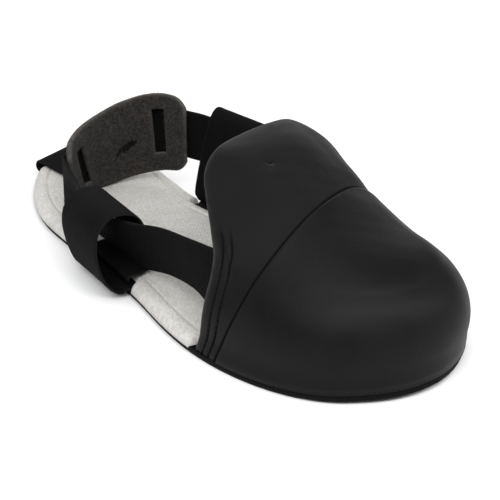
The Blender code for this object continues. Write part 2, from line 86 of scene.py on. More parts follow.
# %% Light
def soft_box(name, place, target, width, depth, watts):
    """An area light that faces a target, its width level."""
    data = bpy.data.lights.new(name, "AREA")
    data.shape = "RECTANGLE"
    data.size, data.size_y = width, depth
    data.energy = watts
    aim(add_object(name, data), place, target)


soft_box("front_box", (0.61, -0.26, 0.76), (0.03, 0.0, 0.03), 2.0, 0.36, 15.5)
soft_box("right_box", (0.78, 0.72, 0.48), (0.08, 0.0, 0.03), 0.5, 0.4, 2.0)
soft_box("top_box", (-0.05, -0.20, 1.05), (0.0, 0.0, 0.03), 0.9, 0.9, 3.8)
soft_box("left_box", (-0.60, -0.60, 0.65), (0.0, 0.0, 0.03), 0.6, 0.6, 1.8)
soft_box("back_box", (-0.90, 0.85, 0.75), (0.03, 0.0, 0.03), 1.4, 0.7, 7.0)
world = bpy.data.worlds.new("pale_sky")
bpy.context.scene.world = world
world.use_nodes = True
sky = world.node_tree.nodes["Background"]
sky.inputs["Color"].default_value = (0.98, 0.99, 1.0, 1.0)
sky.inputs["Strength"].default_value = 0.32
bpy.context.scene.view_settings.view_transform = "Standard"

# %% [markdown]
# Everything follows tables in millimetres, in the sole's own frame: x from the
# heel end to the toe, y towards the inner side, z up from the ground. These
# small helpers turn tables into smooth curves, and millimetres into the frame's
# metres. The curve is the one that the solids were made with, so a piece drawn
# from the same rows lands exactly on its solid.

# %% Curves and units
ORIGIN_X = 156.0


def to_frame(points):
    """Millimetres in the sole's frame to metres in the part's frame."""
    return (np.asarray(points, float) - (ORIGIN_X, 0.0, 0.0)) / 1000


def through_rows(rows, shares, closed=False):
    """Points of a smooth curve through the rows, shares from 0 to 1."""
    rows = np.asarray(rows, float)
    count = len(rows)
    spans = count if closed else count - 1
    place = np.clip(np.asarray(shares, float), 0, 1) * spans
    index = np.minimum(place.astype(int), spans - 1)
    t = (place - index)[:, None]
    wrap = (lambda i: i % count) if closed else (lambda i: np.clip(i, 0, count - 1))
    a, b, c, d = (rows[wrap(index + k)] for k in (-1, 0, 1, 2))
    return 0.5 * (2 * b + (c - a) * t + (2 * a - 5 * b + 4 * c - d) * t ** 2
                  + (3 * b - a - 3 * c + d) * t ** 3)


def column_at(rows, keys):
    """All columns of a table at the given keys; its first column rises."""
    rows = np.asarray(rows, float)
    x, y = rows[:, 0], rows[:, 1:]
    slope = np.empty_like(y)
    slope[1:-1] = (y[2:] - y[:-2]) / (x[2:] - x[:-2])[:, None]
    slope[0] = (y[1] - y[0]) / (x[1] - x[0])
    slope[-1] = (y[-1] - y[-2]) / (x[-1] - x[-2])
    keys = np.atleast_1d(np.asarray(keys, float))
    i = np.clip(np.searchsorted(x, keys, side="right") - 1, 0, len(x) - 2)
    span = (x[i + 1] - x[i])[:, None]
    t = np.clip((keys - x[i]) / span[:, 0], 0, 1)[:, None]
    return ((2 * t ** 3 - 3 * t ** 2 + 1) * y[i] + (t ** 3 - 2 * t ** 2 + t) * slope[i] * span
            + (3 * t ** 2 - 2 * t ** 3) * y[i + 1] + (t ** 3 - t ** 2) * slope[i + 1] * span)


def ease(lo, hi, value):
    """Smooth step from 0 at lo to 1 at hi."""
    t = np.clip((np.asarray(value, float) - lo) / (hi - lo), 0, 1)
    return t * t * (3 - 2 * t)


def reach_of(points, line):
    """Distance of each point to the nearest point of a line."""
    return np.min(np.linalg.norm(points[:, None, :] - line[None, :, :], axis=2), axis=1)


def unit(v):
    return v / np.maximum(np.linalg.norm(v, axis=-1, keepdims=True), 1e-12)


print("a curve through 3 rows at its middle:", through_rows([(0, 0), (1, 1), (2, 0)], [0.5])[0])

# %% [markdown]
# A soft piece is never quite even. This helper sums a few slow waves with fixed
# phases, so that leather and webbing lie a little unevenly, and the same way at
# every run. Every new piece passes through one small function that makes its
# mesh, its flat map for woven patterns and its tie to the frame. Two more join
# a grid of points into faces, and turn the faces of a closed mesh outward.


# %% Waves and pieces
def slow_waves(points, length, seed):
    """Gentle unevenness between about -1 and 1 over points in millimetres."""
    rng = np.random.default_rng(seed)
    total = np.zeros(len(points))
    for _ in range(7):
        way = unit(rng.normal(size=3))
        total += np.sin(points @ way * 2 * math.pi / (length * rng.uniform(0.6, 1.7)) + rng.uniform(0, 6.28))
    return total / 3.2


def make_piece(name, points, faces, materials, flat=None, groups=None, **marks):
    """A mesh piece from points in millimetres, tied to the part's one body."""
    mesh = bpy.data.meshes.new(name)
    mesh.from_pydata(to_frame(points).tolist(), [], faces)
    for material in materials:
        mesh.materials.append(material)
    if groups is not None:
        mesh.polygons.foreach_set("material_index", np.asarray(groups, np.int32))
    if flat is not None:
        layer = mesh.uv_layers.new(name="flat")
        corner = np.zeros(len(mesh.loops), np.int32)
        mesh.loops.foreach_get("vertex_index", corner)
        layer.data.foreach_set("uv", (np.asarray(flat)[corner] / 1000).ravel())
    for mark, values in marks.items():
        mesh.attributes.new(mark, "FLOAT", "POINT").data.foreach_set("value", np.asarray(values, np.float32))
    mesh.shade_smooth()
    piece = add_object(name, mesh)
    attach(piece, "root")
    print(f"{name}: {len(points)} points, {len(mesh.polygons)} faces")
    return piece


def grid_faces(ids):
    """Four-cornered faces between neighbours in an array of point numbers."""
    corners = ids[:-1, :-1], ids[1:, :-1], ids[1:, 1:], ids[:-1, 1:]
    return np.stack(corners, axis=-1).reshape(-1, 4).tolist()


def face_outward(piece, weld=0.0):
    """Turn a piece's faces outward, after merging points closer than weld in metres."""
    mesh = bmesh.new()
    mesh.from_mesh(piece.data)
    if weld:
        bmesh.ops.remove_doubles(mesh, verts=mesh.verts, dist=weld)
        bmesh.ops.delete(mesh, geom=[v for v in mesh.verts if not v.link_faces], context="VERTS")
    bmesh.ops.recalc_face_normals(mesh, faces=mesh.faces)
    mesh.to_mesh(piece.data)
    mesh.free()


# %% [markdown]
# Four effects are shared by several finishes, so each is a shader group that is
# built once. The first is a plain weave: threads go over and under in two
# directions. Its height rises over each thread, and its shade differs a little
# from thread to thread. It reads a flat position in metres, so the thread pitch
# is a real size.


# %% Helpers for shader groups
def feed(tree, slot, value):
    """Give an input a socket to read or a fixed value."""
    if hasattr(value, "is_output"):
        tree.links.new(value, slot)
    else:
        slot.default_value = value


def shader_group(name, outputs, **inputs):
    """An empty shader group with a position, named float inputs and float outputs."""
    group = bpy.data.node_groups.new(name, "ShaderNodeTree")
    group.interface.new_socket("Position", in_out="INPUT", socket_type="NodeSocketVector")
    for label, value in inputs.items():
        socket = group.interface.new_socket(label.replace("_", " "), in_out="INPUT", socket_type="NodeSocketFloat")
        socket.default_value = value
    for label in outputs:
        group.interface.new_socket(label, in_out="OUTPUT", socket_type="NodeSocketFloat")
    return group, group.nodes.new("NodeGroupInput"), group.nodes.new("NodeGroupOutput")


def calc(tree, operation, *values):
    """A math node; values are numbers or sockets. Returns its output."""
    node = tree.nodes.new("ShaderNodeMath")
    node.operation = operation
    for slot, value in zip(node.inputs, values):
        feed(tree, slot, value)
    return node.outputs[0]


def noise(tree, vector, scale, detail=3.0, rough=0.55):
    """A noise texture in metres; scale is a number or a socket. Returns its output."""
    node = tree.nodes.new("ShaderNodeTexNoise")
    for label, value in (("Vector", vector), ("Scale", scale), ("Detail", detail), ("Roughness", rough)):
        feed(tree, node.inputs[label], value)
    return node.outputs["Fac"]


# %% Shader group: plain weave
weave, ins, outs = shader_group("plain_weave", ["Height", "Shade"], Warp_Pitch=0.0008, Weft_Pitch=0.0006)
split = weave.nodes.new("ShaderNodeSeparateXYZ")
weave.links.new(ins.outputs["Position"], split.inputs[0])
crossing = weave.nodes.new("ShaderNodeCombineXYZ")
humps, counts = [], []
for axis, pitch in (("X", "Warp Pitch"), ("Y", "Weft Pitch")):
    threads = calc(weave, "DIVIDE", split.outputs[axis], ins.outputs[pitch])
    humps.append(calc(weave, "ABSOLUTE", calc(weave, "SINE", calc(weave, "MULTIPLY", threads, math.pi))))
    counts.append(calc(weave, "FLOOR", threads))
    weave.links.new(counts[-1], crossing.inputs[axis])
turn = calc(weave, "PINGPONG", calc(weave, "ADD", *counts), 1.0)
over = calc(weave, "MULTIPLY", humps[0], turn)
under = calc(weave, "MULTIPLY", humps[1], calc(weave, "SUBTRACT", 1.0, turn))
weave.links.new(calc(weave, "POWER", calc(weave, "ADD", over, under), 0.7), outs.inputs["Height"])
thread_tone = weave.nodes.new("ShaderNodeTexWhiteNoise")
thread_tone.noise_dimensions = "2D"
weave.links.new(crossing.outputs[0], thread_tone.inputs["Vector"])
weave.links.new(thread_tone.outputs["Value"], outs.inputs["Shade"])
print("weave nodes:", len(weave.nodes))

# %% [markdown]
# The second group is a fine grain: small flattened cells with soft furrows
# between them, as on coated leather and on moulded rubber. The third is soiling,
# slow cloudy patches that make a surface a little duller or paler here and
# there. The fourth is a rubbed and lit rim: pieces carry a value that is 1 at
# their edges, and this group breaks it up into an uneven paler line, part the
# wear that handling leaves and part a painted highlight where edges catch light.

# %% Shader groups: grain, soiling, and rim wear with painted highlight
grain, ins, outs = shader_group("fine_grain", ["Height", "Shade"], Cells_per_Metre=900.0)
place, scale = ins.outputs["Position"], ins.outputs["Cells per Metre"]
cells = grain.nodes.new("ShaderNodeTexVoronoi")
cells.feature = "SMOOTH_F1"
for label, value in (("Smoothness", 0.35), ("Vector", place), ("Scale", scale)):
    feed(grain, cells.inputs[label], value)
finer = noise(grain, place, calc(grain, "MULTIPLY", scale, 2.2))
domes = calc(grain, "SUBTRACT", 1.0, cells.outputs["Distance"])
grain.links.new(calc(grain, "MULTIPLY_ADD", finer, 0.35, domes), outs.inputs["Height"])
grain.links.new(finer, outs.inputs["Shade"])

soiling, ins, outs = shader_group("soiling", ["Mask"], Patches_per_Metre=18.0)
cloud = noise(soiling, ins.outputs["Position"], ins.outputs["Patches per Metre"], 5.0, 0.62)
remap = soiling.nodes.new("ShaderNodeMapRange")
remap.interpolation_type = "SMOOTHSTEP"
for label, value in (("From Min", 0.36), ("From Max", 0.68), ("Value", cloud)):
    feed(soiling, remap.inputs[label], value)
soiling.links.new(remap.outputs["Result"], outs.inputs["Mask"])

# The rim mask paints edges paler: part wear, part painted highlight where edges catch light.
wear_and_highlight, ins, outs = shader_group("rubbed_rim", ["Mask"], Rim=0.0, Breaks_per_Metre=160.0)
ragged = noise(wear_and_highlight, ins.outputs["Position"], ins.outputs["Breaks per Metre"], 4.0, 0.6)
broken = calc(wear_and_highlight, "MULTIPLY_ADD", ragged, 1.4, -0.15)
wear_and_highlight.links.new(calc(wear_and_highlight, "MULTIPLY", ins.outputs["Rim"], broken), outs.inputs["Mask"])
print("groups:", [g.name for g in (weave, grain, soiling, wear_and_highlight)])

# %% [markdown]
# A finish is then a short recipe: a base colour that the groups vary, a
# roughness that they vary too, and a bump from the pattern's height. One
# function writes the recipe, and each material gives its own values. Numbers
# that don't change over the surface sit on the shader's own sockets.


# %% Recipe for a finish
def use_group(tree, group, **values):
    """A shader group in a tree, its inputs given by name. Returns its outputs."""
    node = tree.nodes.new("ShaderNodeGroup")
    node.node_tree = group
    for label, value in values.items():
        feed(tree, node.inputs[label.replace("_", " ")], value)
    return node.outputs


def between(tree, mask, low, high):
    """Colour that goes from low to high with a mask."""
    node = tree.nodes.new("ShaderNodeMix")
    node.data_type = "RGBA"
    tree.links.new(mask, node.inputs["Factor"])
    for slot, value in ((node.inputs["A"], low), (node.inputs["B"], high)):
        feed(tree, slot, (*value, 1.0) if isinstance(value, tuple) else value)
    return node.outputs["Result"]


def new_finish(name, **constants):
    """A material, its tree, its shader and the position that its patterns read."""
    material = bpy.data.materials.new(name)
    material.use_nodes = True
    tree = material.node_tree
    shader = tree.nodes["Principled BSDF"]
    for label, value in constants.items():
        shader.inputs[label.replace("_", " ")].default_value = value
    return material, tree, shader, tree.nodes.new("ShaderNodeTexCoord").outputs["Object"]


def mark_value(tree, mark="rim"):
    """A value that the mesh carries at its points, such as how close a rim is."""
    node = tree.nodes.new("ShaderNodeAttribute")
    node.attribute_name = mark
    return node.outputs["Fac"]


def dress(tree, shader, colour, rough, height, depth):
    """Colour, roughness as a mask, its gain and the least value, and a bump of a depth."""
    tree.links.new(colour, shader.inputs["Base Color"])
    tree.links.new(calc(tree, "MULTIPLY_ADD", *rough), shader.inputs["Roughness"])
    node = tree.nodes.new("ShaderNodeBump")
    for label, value in (("Distance", depth), ("Strength", 1.0), ("Height", height)):
        feed(tree, node.inputs[label], value)
    tree.links.new(node.outputs["Normal"], shader.inputs["Normal"])


# %% [markdown]
# The toe cover is a coated sheet with a satin, leather-like face. It is nearly
# black, with a very fine grain. It is slightly paler along its cut edges, part
# wear and part painted highlight, and painted shade darkens its seam groove, its
# sewn hem grooves and its small dent. Its lining is a thin dark cloth.

# %% Finishes of the toe cover
cover_black, tree, shader, here = new_finish("cover_black", Specular_IOR_Level=0.11)
skin = use_group(tree, grain, Position=here, Cells_per_Metre=1250.0)
dull = use_group(tree, soiling, Position=here, Patches_per_Metre=22.0)["Mask"]
wear_and_lit_rim = use_group(tree, wear_and_highlight, Position=here, Rim=mark_value(tree), Breaks_per_Metre=220.0)["Mask"]
crease = mark_value(tree, "crease")
tone = between(tree, dull, (0.0030, 0.0028, 0.0029), (0.0050, 0.0047, 0.0048))
# Paler along the cut edges and the rounded rear edge: part wear, part painted highlight.
tone = between(tree, wear_and_lit_rim, tone, (0.045, 0.043, 0.042))
# Painted shade: nearly black in the seam groove, the hem grooves and the dent, where shade falls; these places are
# also rougher, so they hold no highlight.
tone = between(tree, crease, tone, (0.0006, 0.0006, 0.0006))
satin = calc(tree, "MULTIPLY_ADD", dull, 0.08, calc(tree, "MULTIPLY_ADD", skin["Shade"], 0.10, 0.40))
dress(tree, shader, tone, (crease, 0.5, satin), skin["Height"], 0.00004)

lining_black, tree, shader, here = new_finish("lining_black", Specular_IOR_Level=0.08)
knit = use_group(tree, weave, Position=here, Warp_Pitch=0.0007, Weft_Pitch=0.0007)
tone = between(tree, knit["Shade"], (0.005, 0.005, 0.0055), (0.010, 0.010, 0.011))
dress(tree, shader, tone, (knit["Shade"], 0.1, 0.82), knit["Height"], 0.00012)
print("finishes:", cover_black.name, lining_black.name)

# %% [markdown]
# The straps are close black webbing. Threads run along and across the band, so
# this finish reads the piece's flat map, which follows the band round every
# bend. Its edges are a little paler, part wear and part painted highlight. The
# felt pad is heathered: brown, grey and dark fibres lie in all directions, and
# its cut edge is paler, part wear and part painted highlight.

# %% Finishes of webbing and felt
webbing_black, tree, shader, here = new_finish(
    "webbing_black", Specular_IOR_Level=0.03, Sheen_Weight=0.004, Sheen_Roughness=0.5)
flat = here.node.outputs["UV"]
threads = use_group(tree, weave, Position=flat, Warp_Pitch=0.0011, Weft_Pitch=0.0008)
dull = use_group(tree, soiling, Position=here, Patches_per_Metre=30.0)["Mask"]
wear_and_lit_rim = use_group(tree, wear_and_highlight, Position=here, Rim=mark_value(tree), Breaks_per_Metre=260.0)["Mask"]
tone = between(tree, threads["Shade"], (0.0030, 0.0030, 0.0032), (0.0052, 0.0051, 0.0052))
tone = between(tree, dull, tone, (0.0056, 0.0054, 0.0053))
# Paler along the band's edges: part wear, part painted highlight.
tone = between(tree, wear_and_lit_rim, tone, (0.014, 0.014, 0.014))
dress(tree, shader, tone, (threads["Shade"], 0.12, 0.70), threads["Height"], 0.00012)

felt_brown, tree, shader, here = new_finish(
    "felt_brown", Specular_IOR_Level=0.08, Sheen_Weight=0.05, Sheen_Roughness=0.6)
stretch = tree.nodes.new("ShaderNodeMapping")
for label, value in (("Rotation", (0.4, 0.2, 0.9)), ("Scale", (1.0, 0.35, 0.8)), ("Vector", here)):
    feed(tree, stretch.inputs[label], value)
strands = noise(tree, stretch.outputs[0], 1500.0, 4.0, 0.7)
flecks = noise(tree, here, 780.0, 4.0, 0.7)
heather = tree.nodes.new("ShaderNodeMapRange")
for label, value in (("From Min", 0.41), ("From Max", 0.70), ("Value", flecks)):
    feed(tree, heather.inputs[label], value)
dull = use_group(tree, soiling, Position=here, Patches_per_Metre=60.0)["Mask"]
wear_and_lit_rim = use_group(tree, wear_and_highlight, Position=here, Rim=mark_value(tree), Breaks_per_Metre=300.0)["Mask"]
tone = between(tree, strands, (0.006, 0.0053, 0.0048), (0.024, 0.0208, 0.0188))
tone = between(tree, heather.outputs["Result"], tone, (0.060, 0.054, 0.049))
tone = between(tree, calc(tree, "MULTIPLY", dull, 0.35), tone, (0.008, 0.007, 0.006))
# Paler along the felt's cut edges: part wear, part painted highlight.
tone = between(tree, wear_and_lit_rim, tone, (0.100, 0.091, 0.083))
dress(tree, shader, tone, (flecks, 0.15, 0.82), calc(tree, "ADD", strands, flecks), 0.0006)
print("finishes:", webbing_black.name, felt_brown.name)

# %% [markdown]
# The insole is a board under an off-white woven cloth, and the sole is black
# rubber with a dry, slightly dusty face. Sewing thread comes in black for the
# cover and the pad, and in off-white for the insole.

# %% Finishes of insole, sole and thread
insole_cloth, tree, shader, here = new_finish("insole_cloth", Specular_IOR_Level=0.25)
threads = use_group(tree, weave, Position=here, Warp_Pitch=0.0010, Weft_Pitch=0.0010)
dull = use_group(tree, soiling, Position=here, Patches_per_Metre=26.0)["Mask"]
tone = between(tree, threads["Shade"], (0.52, 0.505, 0.48), (0.66, 0.645, 0.62))
tone = between(tree, calc(tree, "MULTIPLY", dull, 0.35), tone, (0.43, 0.41, 0.38))
dress(tree, shader, tone, (threads["Shade"], 0.1, 0.78), threads["Height"], 0.00020)

sole_rubber, tree, shader, here = new_finish("sole_rubber", Specular_IOR_Level=0.05)
skin = use_group(tree, grain, Position=here, Cells_per_Metre=1600.0)
dust = use_group(tree, soiling, Position=here, Patches_per_Metre=45.0)["Mask"]
tone = between(tree, dust, (0.0020, 0.0020, 0.0021), (0.0048, 0.0046, 0.0044))
dress(tree, shader, tone, (dust, 0.16, 0.55), skin["Height"], 0.00008)


def thread_finish(name, dark, light):
    """Sewing thread between two colours, with a fine twist."""
    material, tree, shader, here = new_finish(name, Specular_IOR_Level=0.1)
    twist = noise(tree, here, 2600.0, 2.0)
    dress(tree, shader, between(tree, twist, dark, light), (twist, 0.2, 0.45), twist, 0.00008)
    return material


thread_black = thread_finish("thread_black", (0.0015, 0.0015, 0.0015), (0.004, 0.004, 0.004))
thread_pale = thread_finish("thread_pale", (0.45, 0.435, 0.41), (0.64, 0.62, 0.59))
print("finishes:", [m.name for m in (insole_cloth, sole_rubber, thread_black, thread_pale)])

# %% [markdown]
# The sole is rubber, cut to one outline with the insole. Its solid already has
# the true outline, the side step and the cross bars, so it stays and only gets
# its finish. The outline's table is repeated here because the insole, the toe
# cover and the small ribs round the toe all follow it.

# %% Sole outline
# columns: x, y from the heel along the inner side, round the toe and back
SOLE_EDGE = [
    (10.0, 1.0), (12.8, 14.0), (20.5, 26.5), (33.0, 34.8), (49.0, 37.3),
    (74.0, 33.0), (100.0, 29.5), (128.0, 31.0), (155.0, 35.3), (184.0, 41.8),
    (210.0, 46.4), (235.0, 48.4), (257.0, 47.2), (274.0, 42.2), (287.0, 33.2),
    (296.5, 20.0), (301.8, 6.5), (303.0, -6.0), (300.5, -19.0), (294.0, -31.5),
    (282.0, -45.2), (264.0, -55.4), (240.0, -61.8), (215.0, -63.4), (190.0, -60.6),
    (158.0, -53.8), (125.0, -49.5), (95.0, -47.0), (64.0, -42.2), (39.0, -31.6),
    (21.5, -18.8), (12.8, -9.0),
]
EDGE_STEPS = 960
TOE_SPRING, SPRING_FROM_X, SPRING_LENGTH = 3.0, 238.0, 65.0
edge = through_rows(SOLE_EDGE, np.arange(EDGE_STEPS) / EDGE_STEPS, closed=True)
edge_way = unit(np.roll(edge, -4, axis=0) - np.roll(edge, 4, axis=0))
edge_in = np.stack([edge_way[:, 1], -edge_way[:, 0]], axis=1)
if (edge_in[0] * (edge.mean(axis=0) - edge[0])).sum() < 0:
    edge_in = -edge_in


def toe_lift(x):
    """Height of the toe spring at x."""
    return TOE_SPRING * np.clip((np.asarray(x, float) - SPRING_FROM_X) / SPRING_LENGTH, 0, None) ** 2


def edge_frame(x, inner):
    """Point on the sole edge at x, with the directions along it and inward."""
    toe = int(np.argmax(edge[:, 0]))
    side = edge[:toe] if inner else edge[toe:]
    side = side[np.argsort(side[:, 0])]
    at = lambda q: np.array((q, np.interp(q, side[:, 0], side[:, 1]), 0.0))
    along = unit(at(x + 20) - at(x - 20))
    inward = np.array((-along[1], along[0], 0.0))
    return at(x), along, -inward if inward[1] * at(x)[1] > 0 else inward


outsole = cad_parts["outsole"]
outsole.data.materials.clear()
outsole.data.materials.append(sole_rubber)
print("sole outline in mm:", np.ptp(edge, axis=0).round(1))

# %% [markdown]
# Stitches, ribs and felt fibres repeat by the hundred, so Geometry Nodes place
# them. These helpers make a tree with named inputs, put one shape at many
# points, and run a tree on an object. The result is kept as a plain mesh,
# because a finished part has no live modifiers.


# %% Helpers for Geometry Nodes
def geometry_tree(name, **inputs):
    """A tree with named number inputs and a finish."""
    tree = bpy.data.node_groups.new(name, "GeometryNodeTree")
    tree.interface.new_socket("Geometry", in_out="INPUT", socket_type="NodeSocketGeometry")
    for label, value in inputs.items():
        kind = "NodeSocketInt" if isinstance(value, int) else "NodeSocketFloat"
        socket = tree.interface.new_socket(label.replace("_", " "), in_out="INPUT", socket_type=kind)
        socket.default_value = value
    tree.interface.new_socket("Finish", in_out="INPUT", socket_type="NodeSocketMaterial")
    tree.interface.new_socket("Geometry", in_out="OUTPUT", socket_type="NodeSocketGeometry")
    return tree, tree.nodes.new("NodeGroupInput"), tree.nodes.new("NodeGroupOutput")


def add_node(tree, kind, links=(), **settings):
    """A node with settings as attributes and links given as input name and socket."""
    node = tree.nodes.new(kind)
    for label, value in settings.items():
        setattr(node, label, value)
    for label, value in links:
        feed(tree, node.inputs[label], value)
    return node


def spread(tree, ins, outs, points, shape, rotation, size):
    """Put a shape at points, turned and sized, as the tree's painted result."""
    scale = add_node(tree, "ShaderNodeCombineXYZ", links=[(axis, ins.outputs[s]) for axis, s in zip("XYZ", size)])
    placed = add_node(tree, "GeometryNodeInstanceOnPoints", links=[
        ("Points", points), ("Instance", shape), ("Rotation", rotation), ("Scale", scale.outputs[0])])
    real = add_node(tree, "GeometryNodeRealizeInstances", links=[("Geometry", placed.outputs[0])])
    painted = add_node(tree, "GeometryNodeSetMaterial", links=[
        ("Geometry", real.outputs[0]), ("Material", ins.outputs["Finish"])])
    tree.links.new(painted.outputs[0], outs.inputs["Geometry"])
    print(tree.name, "nodes:", len(tree.nodes))


def run_tree(source, tree, name, **values):
    """The tree's result on a source object, as a plain mesh piece; the source goes."""
    modifier = source.modifiers.new("nodes", "NODES")
    modifier.node_group = tree
    for item in tree.interface.items_tree:
        label = item.name.replace(" ", "_")
        if item.in_out == "INPUT" and label in values:
            modifier[item.identifier] = values[label]
    ready = source.evaluated_get(bpy.context.evaluated_depsgraph_get())
    mesh = bpy.data.meshes.new_from_object(ready)
    mesh.name = name
    bpy.data.objects.remove(source)
    piece = add_object(name, mesh)
    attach(piece, "root")
    print(f"{name}: {len(mesh.polygons)} faces")
    return piece


# %% [markdown]
# One tree serves everything that sits in a row on a line: it cuts the line into
# equal steps and puts a small rounded bead at each, turned along the line. With
# long thin beads it sews stitches, and with short upright ones it makes the
# fine ribs that the rubber shows round the toe.

# %% Tree: beads in a row
beads, ins, outs = geometry_tree("beads_in_a_row", Step=0.003, Length=0.0024, Width=0.0006, Height=0.0006)
spots = add_node(beads, "GeometryNodeCurveToPoints", mode="LENGTH", links=[
    ("Curve", ins.outputs["Geometry"]), ("Length", ins.outputs["Step"])])
ball = add_node(beads, "GeometryNodeMeshUVSphere", links=[("Segments", 6), ("Rings", 5), ("Radius", 0.5)])
smooth = add_node(beads, "GeometryNodeSetShadeSmooth", links=[("Geometry", ball.outputs["Mesh"])])
turned = add_node(beads, "FunctionNodeAlignRotationToVector", axis="X", links=[
    ("Vector", spots.outputs["Tangent"])])
spread(beads, ins, outs, spots.outputs["Points"], smooth.outputs[0], turned.outputs["Rotation"],
       ("Length", "Width", "Height"))


def bead_row(name, paths, step, size, finish):
    """Beads along lines of points in millimetres; step, and size as length, width and height, in metres."""
    data = bpy.data.curves.new(name, "CURVE")
    data.dimensions = "3D"
    for points in paths:
        line = data.splines.new("POLY")
        line.points.add(len(points) - 1)
        line.points.foreach_set("co", np.c_[to_frame(points), np.ones(len(points))].ravel())
    length, width, height = size
    return run_tree(add_object(name, data), beads, name,
                    Step=step, Length=length, Width=width, Height=height, Finish=finish)


# %% Fine ribs round the toe
RIBS_FROM_X, RIBS_IN, RIBS_Z = 246, 0.15, 2.5
front = edge[:, 0] > RIBS_FROM_X
rib_line = np.c_[(edge + RIBS_IN * edge_in)[front], RIBS_Z + toe_lift(edge[front, 0])]
ribs = bead_row("toe_ribs", [rib_line], 0.0021, (0.0011, 0.0012, 0.0017), sole_rubber)

# %% [markdown]
# The insole is a thin board that is wrapped in white cloth, with a line of
# sewing some millimetres inside its edge. It is drawn as rings that step in from
# the outline: up the side, over a sloping margin, down into the sewn groove and
# up again. At the edge the cloth is drawn down a little way over the sole.
# Where the straps are sewn in, the edge is notched and the underside is raised,
# as on its solid.

# %% Insole
LOOP_HALF, LOOP_OUTER_X, LOOP_INNER_X, STRAP_HALF = 21.0, 133.5, 122.0, 12.5
POCKET_Z, BOARD_Z, WRAP_Z = 5.6, 3.7, 2.8
TAILS = [
    (*edge_frame(LOOP_OUTER_X, False)[:2], LOOP_HALF),
    (*edge_frame(LOOP_INNER_X, True)[:2], LOOP_HALF),
    (np.array((10.0, 0.0, 0.0)), np.array((0.0, 1.0, 0.0)), STRAP_HALF - 0.1),
]
# columns: step in from the edge, height
INSOLE_RINGS = [
    (0.0, 3.7), (0.1, 4.4), (0.4, 5.4), (0.9, 6.4), (1.6, 7.25), (2.6, 8.0), (4.0, 8.5), (5.4, 8.72),
    (6.5, 8.72), (7.0, 8.5), (7.3, 8.12), (7.7, 8.12), (8.0, 8.55), (8.7, 8.8), (10.0, 8.87), (12.0, 8.92),
]
tail = np.zeros(EDGE_STEPS)
for middle, way, half in TAILS:
    offset = edge - middle[:2]
    near = 1 - ease(half + 0.1, half + 0.7, np.abs(offset @ way[:2]))
    tail = np.maximum(tail, near * (np.linalg.norm(offset, axis=1) < half + 8))
edge_step = -0.35 + 5.05 * np.maximum(ease(211.9, 214.1, edge[:, 0]), tail)
foot = np.where(tail > 0.01, POCKET_Z, BOARD_Z)
wrap = np.where(edge_step > 0, foot, WRAP_Z)


def insole_ring(step, height):
    """Ring inside the insole's edge; height is one number or one for each point."""
    flat = edge + edge_in * (edge_step + step)[:, None]
    return np.c_[flat, height + toe_lift(flat[:, 0])]


under = [(2.5, POCKET_Z), (1.2, POCKET_Z), (1.1, foot), (0.45, foot), (0.3, wrap), (0.0, wrap)]
over = [(step, np.maximum(height, wrap + 0.1)) for step, height in INSOLE_RINGS]
rings = [insole_ring(step, height) for step, height in under + over]
ids = np.arange(len(rings) * EDGE_STEPS).reshape(len(rings), EDGE_STEPS)
faces = grid_faces(np.c_[ids, ids[:, :1]].T) + [ids[-1].tolist(), ids[0, ::-1].tolist()]
insole = make_piece("insole_board", np.concatenate(rings), faces, [insole_cloth])
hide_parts("insole")

# %% Sewing round the insole
sewn = insole_ring(7.5, 8.28)
insole_stitches = bead_row("insole_stitches", [np.r_[sewn, sewn[:1]]], 0.0034, (0.0029, 0.0006, 0.0005), thread_pale)

# %% [markdown]
# The toe cover is the main piece. A flat panel is drawn over a hard liner from
# the seam to the toe, and a second panel runs back from the seam as a raised
# instep flap. Both are one curved surface: columns rise from the sole edge to
# the ridge, and the toe's columns fan out from the ridge point. The same rule
# shaped the solid, from nearly the same tables. Here there are many more
# columns, so that the seam, the sewn hem and a small dent can be real relief.

# %% Tables of the toe cover
# columns: height share, x, y, z of the rear edge from the sole to the ridge
RIM_OUTER = [
    (0.0, 216.8, -61.6, 3.7), (0.2, 222.2, -62.8, 26.0), (0.4, 219.4, -54.5, 47.0),
    (0.5, 207.5, -46.5, 55.0), (0.6, 195.0, -39.0, 61.5), (0.7, 184.0, -31.0, 68.5),
    (0.8, 179.5, -20.5, 75.5), (0.9, 180.5, -7.5, 79.6), (1.0, 183.5, 5.0, 82.2),
]
RIM_INNER = [
    (0.0, 216.0, 45.4, 3.7), (0.2, 217.5, 46.0, 26.0), (0.4, 209.0, 42.0, 47.0),
    (0.5, 200.0, 38.0, 56.5), (0.6, 191.5, 33.5, 65.0), (0.7, 186.0, 28.0, 73.0),
    (0.8, 184.0, 21.0, 79.0), (0.9, 184.5, 14.0, 82.0), (1.0, 183.5, 5.0, 82.2),
]
# columns: height share, x of the seam on the outer side and on the inner side
SEAM = [
    (0.0, 229.6, 227.6), (0.2, 237.6, 228.3), (0.35, 241.0, 229.0), (0.55, 243.2, 230.6),
    (0.8, 240.8, 234.0), (1.0, 236.0, 236.0),
]
RIDGE = np.array((236.0, 4.0, 67.5))
ROUND_OUTER, ROUND_INNER, ROUND_TOE, ROUND_TOE_INNER = 2.25, 1.72, 2.8, 2.3
COVER_FOOT, COVER_INSET, TOE_FROM_X = 3.7, 1.5, 228.6
TOE_TILT, TOE_BULGE, FLAP_CURL, WALL, SEAM_STEP = 0.47, 3.0, 1.8, 2.3, 0.4
COVER_ROWS, FLAP_STEPS, TOE_STEPS = 72, 60, 170
DENT = (206.0, -12.4)
top_rows = 1 - np.array((0.0105, 0.0075, 0.005, 0.003, 0.0014, 0.0005))
shares = np.unique(np.r_[np.arange(COVER_ROWS + 1) / COVER_ROWS, np.linspace(0.82, 0.90, 17), top_rows].round(5))


